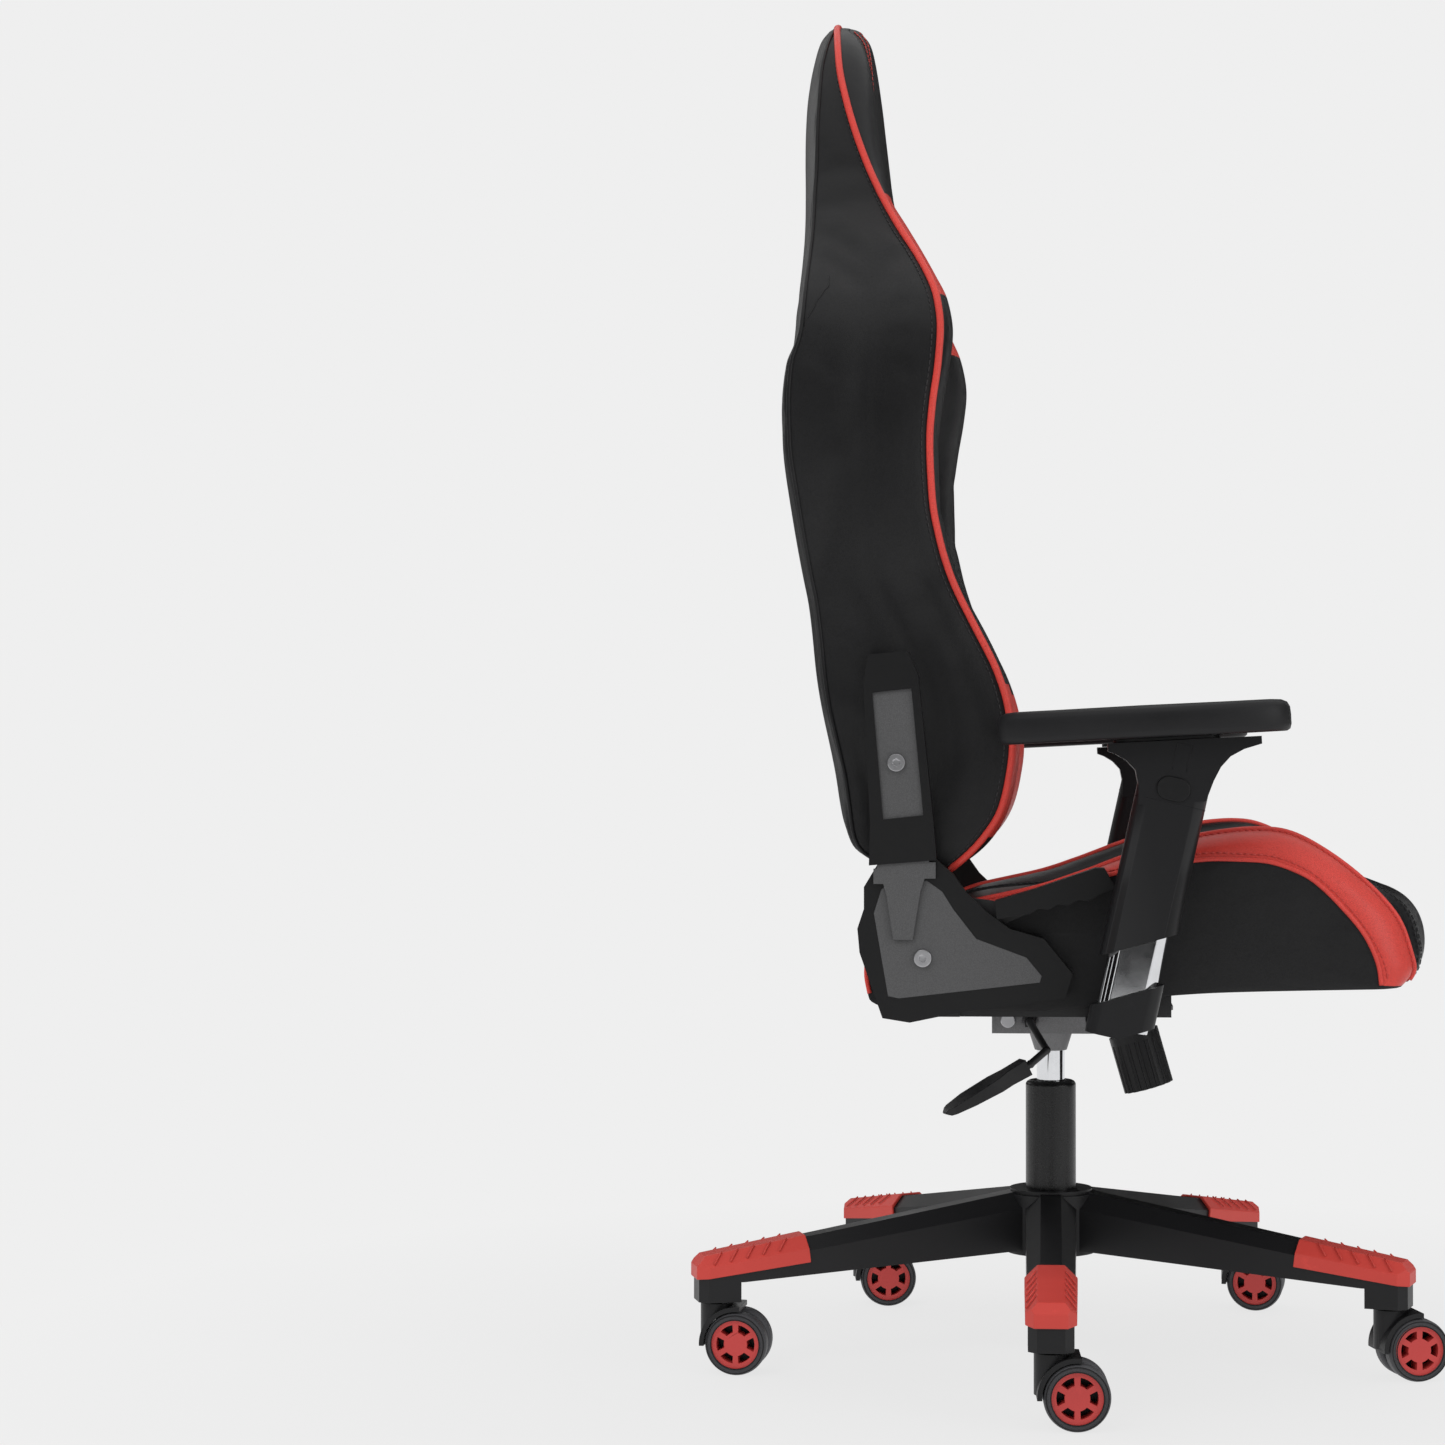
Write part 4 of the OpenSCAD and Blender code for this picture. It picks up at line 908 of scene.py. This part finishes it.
def seat_upholstery():
    """The seat's skin: side panels, red bands, the dished middle and the rounded front."""
    side = seat_loop(SIDE_LOOP, skirt=True)
    crest, inner, middle = (seat_loop(points) for points in (CREST_LOOP, INNER_LOOP, MIDDLE_LOOP))
    count = len(side)
    over = count - UNDER_STEPS
    skin = Skin("seat_upholstery")

    def rear_in(x):
        return 24 * max(0, (-128 - x) / 48) ** 2

    def half_rows():
        """Loops from the side panel's edge to the middle."""
        for c in range(BAND_COLUMNS):
            u = c / BAND_COLUMNS * math.pi / 2
            line = [lerp(a, b, math.sin(u)) for a, b in zip(side, crest)]
            yield lerp(SIDE_Y, CREST_Y, 1 - math.cos(u)), line
        for c in range(DROP_COLUMNS):
            u = c / DROP_COLUMNS * math.pi / 2
            line = [lerp(a, b, math.cos(u)) for a, b in zip(inner, crest)]
            yield CREST_Y - (CREST_Y - INNER_Y) * math.sin(u), line
        for c in range(SEAT_COLUMNS + 1):
            u = 1 - c / SEAT_COLUMNS
            sunk = 5 * u ** 8
            line = []
            for i, (a, b) in enumerate(zip(middle, inner)):
                p = lerp(a, b, u * u)
                if i < over:
                    p = p - Vector((sunk * 0.3, sunk, 0)) * min(1, i / 12)
                line.append(p)
            yield INNER_Y * u, line

    rows = []
    for y, line in half_rows():
        rows.append([Vector((p.x, y * (1 - rear_in(p.x) / SIDE_Y), p.y)) * MM for p in line])
    numbers = skin.grid(rows + [[mirrored(p) for p in row] for row in reversed(rows[:-1])])
    last = len(numbers) - 1

    def finish_of(row, column):
        c = min(row, last - 1 - row)
        if column >= over - 1:
            return "under_cloth"
        if c < BAND_COLUMNS:
            return "hide_band" if column >= 3 * LOOP_STEPS else "hide_panel"
        if c < DROP_SEAM:
            return "hide_inner"
        return "hide_seat"

    skin.fill(numbers, finish_of, around=True)
    hub = Vector(PANEL_HUB) * MM
    panels = []
    for ring, sign in ((numbers[0], 1), (numbers[-1], -1)):
        previous = ring
        panel = [ring]
        for share in PANEL_SHARES:
            line = []
            for i in ring:
                p = skin.points[i]
                y = sign * lerp(PANEL_Y, abs(p.y), share ** 4)
                skin.points.append(Vector((lerp(hub.x, p.x, share), y, lerp(hub.z, p.z, share))))
                line.append(len(skin.points) - 1)
            skin.fill([previous, line], lambda r, c: "hide_panel", around=True)
            previous = line
            panel.append(line)
        skin.points.append(Vector((hub.x, sign * PANEL_Y, hub.z)))
        tip = len(skin.points) - 1
        for a, b in zip(previous, previous[1:] + previous[:1]):
            skin.faces.append((a, b, tip))
            skin.finishes.append("hide_panel")
        panels.append(panel)
    piece = skin.piece("seat", "leather_black", "seat_cushion", 0.8)
    seams = set()
    for c in (0, BAND_COLUMNS, DROP_SEAM):
        seams.update(numbers[c] + numbers[last - c])
    for row in numbers:
        seams.update(row[over - 1:] + row[:1])
    for panel in panels:
        for line in panel[3:]:
            seams.update(line)
    seams.add(tip)
    return piece, seams, numbers, over


def head_ease(p):
    """1 over most of the back, falling to 0 at the top of the head, where the skin is drawn tight."""
    return min(1.0, max(0.0, (1.319 - p.z) / 0.075))


def pairs_beside(piece, seams, neighbours, away):
    """Lines beside a left and a right seam."""
    return [beside(piece, seam, near, away) for seam, near in zip(seams, neighbours)]


back, back_seams, back_columns, back_mirror, back_numbers, cross_rows, middle_columns = back_upholstery()


def back_seam(column):
    """A seam of the back on the left and on the right, as vertex numbers."""
    return [back_columns[column], back_mirror[column]]


inflate(back, back_seams, 0.009, head_ease)
soft_seams = [*back_seam(REAR_SEAM), *back_seam(INNER_SEAM)]
pucker(back, {i for seam in soft_seams for i in seam}, 0.0009, ease=head_ease)
pucker(back, {i for seam in back_seam(PIPED_SEAM) for i in seam}, 0.0005, 2, head_ease)
subdivided(back)

piped_left, piped_right = [run_along(back, numbers) for numbers in back_seam(PIPED_SEAM)]
UP = Vector((0, 0, 1))
over_top = []
for k in range(1, 12):
    across = lerp(piped_left[-1][0], piped_right[-1][0], k / 12)
    over_top.append((across + UP * 0.0066 * math.sin(math.pi * k / 12), UP))
piping("back_piping", [piped_left + over_top + list(reversed(piped_right))], "back", "trim_red")
rear_runs = [run_along(back, numbers) for numbers in back_seam(REAR_SEAM)]
piping("back_rear_seams", rear_runs, "back", "leather_black", 0.0002, 0.0019, "hide_rear")
inner_lines, cross_lines = [], []
for step in (-1, 1):
    inner_lines += pairs_beside(back, back_seam(INNER_SEAM), back_seam(INNER_SEAM + step), 0.0045)
for r in cross_rows:
    for step in (-1, 1):
        seam, near = ([back_numbers[row][c] for c in middle_columns] for row in (r, r + step))
        cross_lines.append(beside(back, seam, near, 0.0045))
sewn("back_stitches", inner_lines + cross_lines, "back", "trim_red", "thread_red")
skin_tree = BVHTree.FromPolygons([v.co for v in back.data.vertices], [f.vertices for f in back.data.polygons])


def dart(side):
    """A fine seam that runs up the shoulder of a side panel."""
    start, end = Vector((-0.2290, side * 0.3, 0.998)), Vector((-0.1880, side * 0.3, 1.108))
    found = [skin_tree.find_nearest(lerp(start, end, k / 16)) for k in range(17)]
    return [(place, normal) for place, normal, *_ in found]


darts = [dart(side) for side in SIDES.values()]
piping("back_darts", darts, "back", "leather_black", 0.0001, 0.0006, "hide_side")
edge_lines = pairs_beside(back, back_seam(PIPED_SEAM), back_seam(PIPED_SEAM - 1), 0.0075)
sewn("back_edge_stitches", edge_lines, "back", "leather_black", "thread_black", 5)

seat, seat_seams, seat_numbers, seat_over = seat_upholstery()
inflate(seat, seat_seams, 0.008)
pucker(seat, {i for i in seat_seams if i < len(seat_numbers) * len(seat_numbers[0])}, 0.0008)
subdivided(seat)
last_row, front_end = len(seat_numbers) - 1, seat_over - 3


def seat_seam(row, start, end=front_end):
    """A seam of the seat on the left and on the right, as vertex numbers."""
    return [seat_numbers[row][start:end], seat_numbers[last_row - row][start:end]]


side_runs = [run_along(seat, numbers) for numbers in seat_seam(0, 2, seat_over)]
piping("seat_side_piping", side_runs, "seat", "trim_red", 0.0004, 0.0022)
crest_runs = [run_along(seat, numbers) for numbers in seat_seam(BAND_COLUMNS, 8)]
piping("seat_crest_piping", crest_runs, "seat", "trim_red", 0.0008, 0.0028)
band_lines, drop_lines = [], []
for row, step in ((0, 1), (BAND_COLUMNS, -1)):
    band_lines += pairs_beside(seat, seat_seam(row, 10), seat_seam(row + step, 10), 0.0065)
sewn("seat_band_stitches", band_lines, "seat", "trim_red", "thread_red", 7)
for step in (-1, 1):
    drop_lines += pairs_beside(seat, seat_seam(DROP_SEAM, 8), seat_seam(DROP_SEAM + step, 8), 0.0050)
sewn("seat_middle_stitches", drop_lines, "seat", "leather_black", "thread_black", 9)


# ---- Arm pads ----

# The pad's half length, half width and foot, and its edge as (inset, height) from the foot to the top
PAD_LONG, PAD_WIDE, PAD_LOW, PAD_SQUARE = 0.1315, 0.046, 0.0036, 3.1
PAD_EDGE = [
    (-0.0100, 0.0), (-0.0040, 0.0), (-0.0012, 0.0018), (0.0, 0.0060), (0.0, 0.0150),
    (-0.0006, 0.0215), (-0.0030, 0.0260), (-0.0080, 0.0283), (-0.0160, 0.0290), (-0.0260, 0.0292),
    (-0.0360, 0.0293),
]


def arm_pad(side):
    """A soft pad with a rounded edge all round and a slightly dished top."""
    name = f"arm_pad_{side}"
    turn = Matrix.Rotation(math.radians(-2.9), 3, "Y")
    place = Vector((119.5, SIDES[side] * 301, 609.5)) * MM
    around, power = 96, 2 / PAD_SQUARE
    rings = []
    for inset, height in PAD_EDGE:
        ring = []
        for k in range(around):
            a = 2 * math.pi * k / around
            c, s = math.cos(a), math.sin(a)
            x = (PAD_LONG + inset) * math.copysign(abs(c) ** power, c)
            y = (PAD_WIDE + inset) * math.copysign(abs(s) ** power, s)
            dish = 0.0006 * max(0.0, 1 - (x / PAD_LONG) ** 2) if height > 0.025 else 0
            ring.append(place + turn @ Vector((-0.035 + x, y, PAD_LOW + height - dish)))
        rings.append(ring)
    points = [p for ring in rings for p in ring]
    faces = []
    for r in range(len(rings) - 1):
        for k in range(around):
            a, b = r * around, (r + 1) * around
            faces.append((a + k, a + (k + 1) % around, b + (k + 1) % around, b + k))
    for start, height in ((0, 0.0), ((len(rings) - 1) * around, 0.0295)):
        ring = list(range(start, start + around))
        points.append(place + turn @ Vector((-0.035, 0, PAD_LOW + height)))
        for k in range(around):
            faces.append((ring[k], ring[(k + 1) % around], len(points) - 1))
    mesh = faces_out(mesh_from(name + "_skin", points, faces))
    piece = new_piece(name + "_skin", mesh, f"pad_{side}", "pad_black", "pad_black", replaces=[name])


for side in SIDES:
    arm_pad(side)


# ---- Hard pieces ----

BEVELS = {
    "star_base": 1.6, "arm_caps": 1.0, "gas_tube": 1.2, "gas_bush": 0.4, "gas_rod": 0.4, "gas_spindle": 0.6,
    "mech_housing": 1.2, "tilt_pin": 0.6, "tension_knob": 1.2, "lever_slider": 0.8, "lever_rod": 0.5,
    "lever_paddle": 2.0, "tilt_plate": 0.8, "seat_bolts": 0.6, "cross_rod": 0.5, "handle_arm": 0.7,
    "handle_grip": 3.0, "back_bolts": 0.6, "seat_frame": 1.2, "back_frame": 1.2,
}
for side in SIDES:
    BEVELS.update({f"seat_bracket_{side}": 0.7, f"bracket_cover_{side}": 1.5, f"back_arm_{side}": 0.6,
                   f"back_cover_{side}": 1.2, f"recliner_{side}": 0.6, f"arm_mount_{side}": 1.0,
                   f"arm_post_{side}": 0.8, f"arm_sleeve_{side}": 2.0, f"arm_button_{side}": 0.8,
                   f"pad_slider_{side}": 0.4})
for i in CASTERS:
    BEVELS.update({f"caster_housing_{i}": 0.8, f"caster_tyres_{i}": 1.2, f"caster_hubs_{i}": 0.6})

PAINTED = {"tilt_plate": "mech_grey", "mech_housing": "mech_grey"}
for node, bevel in BEVELS.items():
    rounded_copy(node, bevel * MM, finish=PAINTED.get(node))


def circle(centre, across, up, radius, count=48):
    """A closed ring of points about a centre."""
    turns = (2 * math.pi * k / count for k in range(count))
    ring = [centre + radius * (across * math.cos(a) + up * math.sin(a)) for a in turns]
    return ring + [ring[0]]


def detail(name, paths, radius, body, slot, finish, sides=6):
    """Thin raised lines that belong to a hard piece."""
    return new_piece(name, tube_mesh(name, paths, radius, sides), body, slot, finish)


# The base's arms as the CAD has them: where they start to fall, the fall, the hub's top, the stems' circle
ARM_ROOT, ARM_FALL, HUB_TOP, STEM_CIRCLE, CAP_THICK = 0.050, math.radians(9.6), 0.166, 0.340, 0.0025
RIBS, RIB_START, RIB_STEP, RIB_SLANT = 5, 0.066, 0.016, 0.009


def cap_ribs():
    """Slanting ribs on both shoulders of every arm cap."""
    paths = []
    for i in CASTERS:
        turn = Matrix.Rotation(math.radians(-90 + 72 * (i - 1)), 3, "Z")
        for hand in (1, -1):
            for k in range(RIBS):
                path = []
                for t in (0, 0.33, 0.67, 1):
                    run = STEM_CIRCLE - RIB_START + RIB_STEP * k + RIB_SLANT * t
                    top = HUB_TOP - 0.002 + CAP_THICK - (run - ARM_ROOT) * math.tan(ARM_FALL)
                    out = lerp(0.0135, 0.0225, t)
                    path.append(turn @ Vector((run, hand * out, top - (out - 0.0125) + 0.0002)))
                paths.append(path)
    detail("arm_cap_ribs", paths, 0.0008, "base", "trim_red", "trim_red")


def tyre_edges(i):
    """Two fine rings on the outer face of each wheel, where the tyre meets its wall and its hub."""
    axis = Vector(JOINTS[f"wheel_roll_{i}"]["axis"]).normalized()
    centre = Vector(JOINTS[f"wheel_roll_{i}"]["pos_m"])
    across = axis.cross(UP)
    rings = []
    for away, radius in ((0.0240, 0.0278), (0.0242, 0.0236)):
        rings += [circle(centre + axis * (hand * away), across, UP, radius) for hand in (-1, 1)]
    detail(f"tyre_edges_{i}", rings, 0.0006, f"wheels_{i}", "tyre_grey", "tyre_edge")


def sleeve_lines(side):
    """The parting line round an armrest's head, and the outline of its catch."""
    lean = Matrix.Rotation(math.radians(12.5), 3, "Y")
    foot = Vector((0.060, SIDES[side] * 0.301, 0.342))
    wide, deep, corner, height, steps = 0.032, 0.018, 0.012, 0.216, 56
    ring = []
    for k in range(steps):
        a = 2 * math.pi * k / steps
        ring.append(Vector((math.copysign(wide - corner, math.cos(a)) + corner * math.cos(a),
                            math.copysign(deep - corner, math.sin(a)) + corner * math.sin(a), height)))
    outline = ((-0.005, 0.246), (-0.0055, 0.270), (0.0085, 0.270), (0.008, 0.246))
    catch = [Vector((x, SIDES[side] * (deep + 0.0001), z)) for x, z in outline]
    paths = [[foot + lean @ p for p in path] for path in (ring + [ring[0]], catch)]
    detail(f"arm_sleeve_lines_{side}", paths, 0.0004, f"armrest_{side}", "nylon_black", "tyre_edge")


cap_ribs()
for i in CASTERS:
    tyre_edges(i)
for side in SIDES:
    sleeve_lines(side)
spring = frame["nodes"]["tilt_spring"]
spring.data.materials.clear()
spring.data.materials.append(FINISHES["steel"])
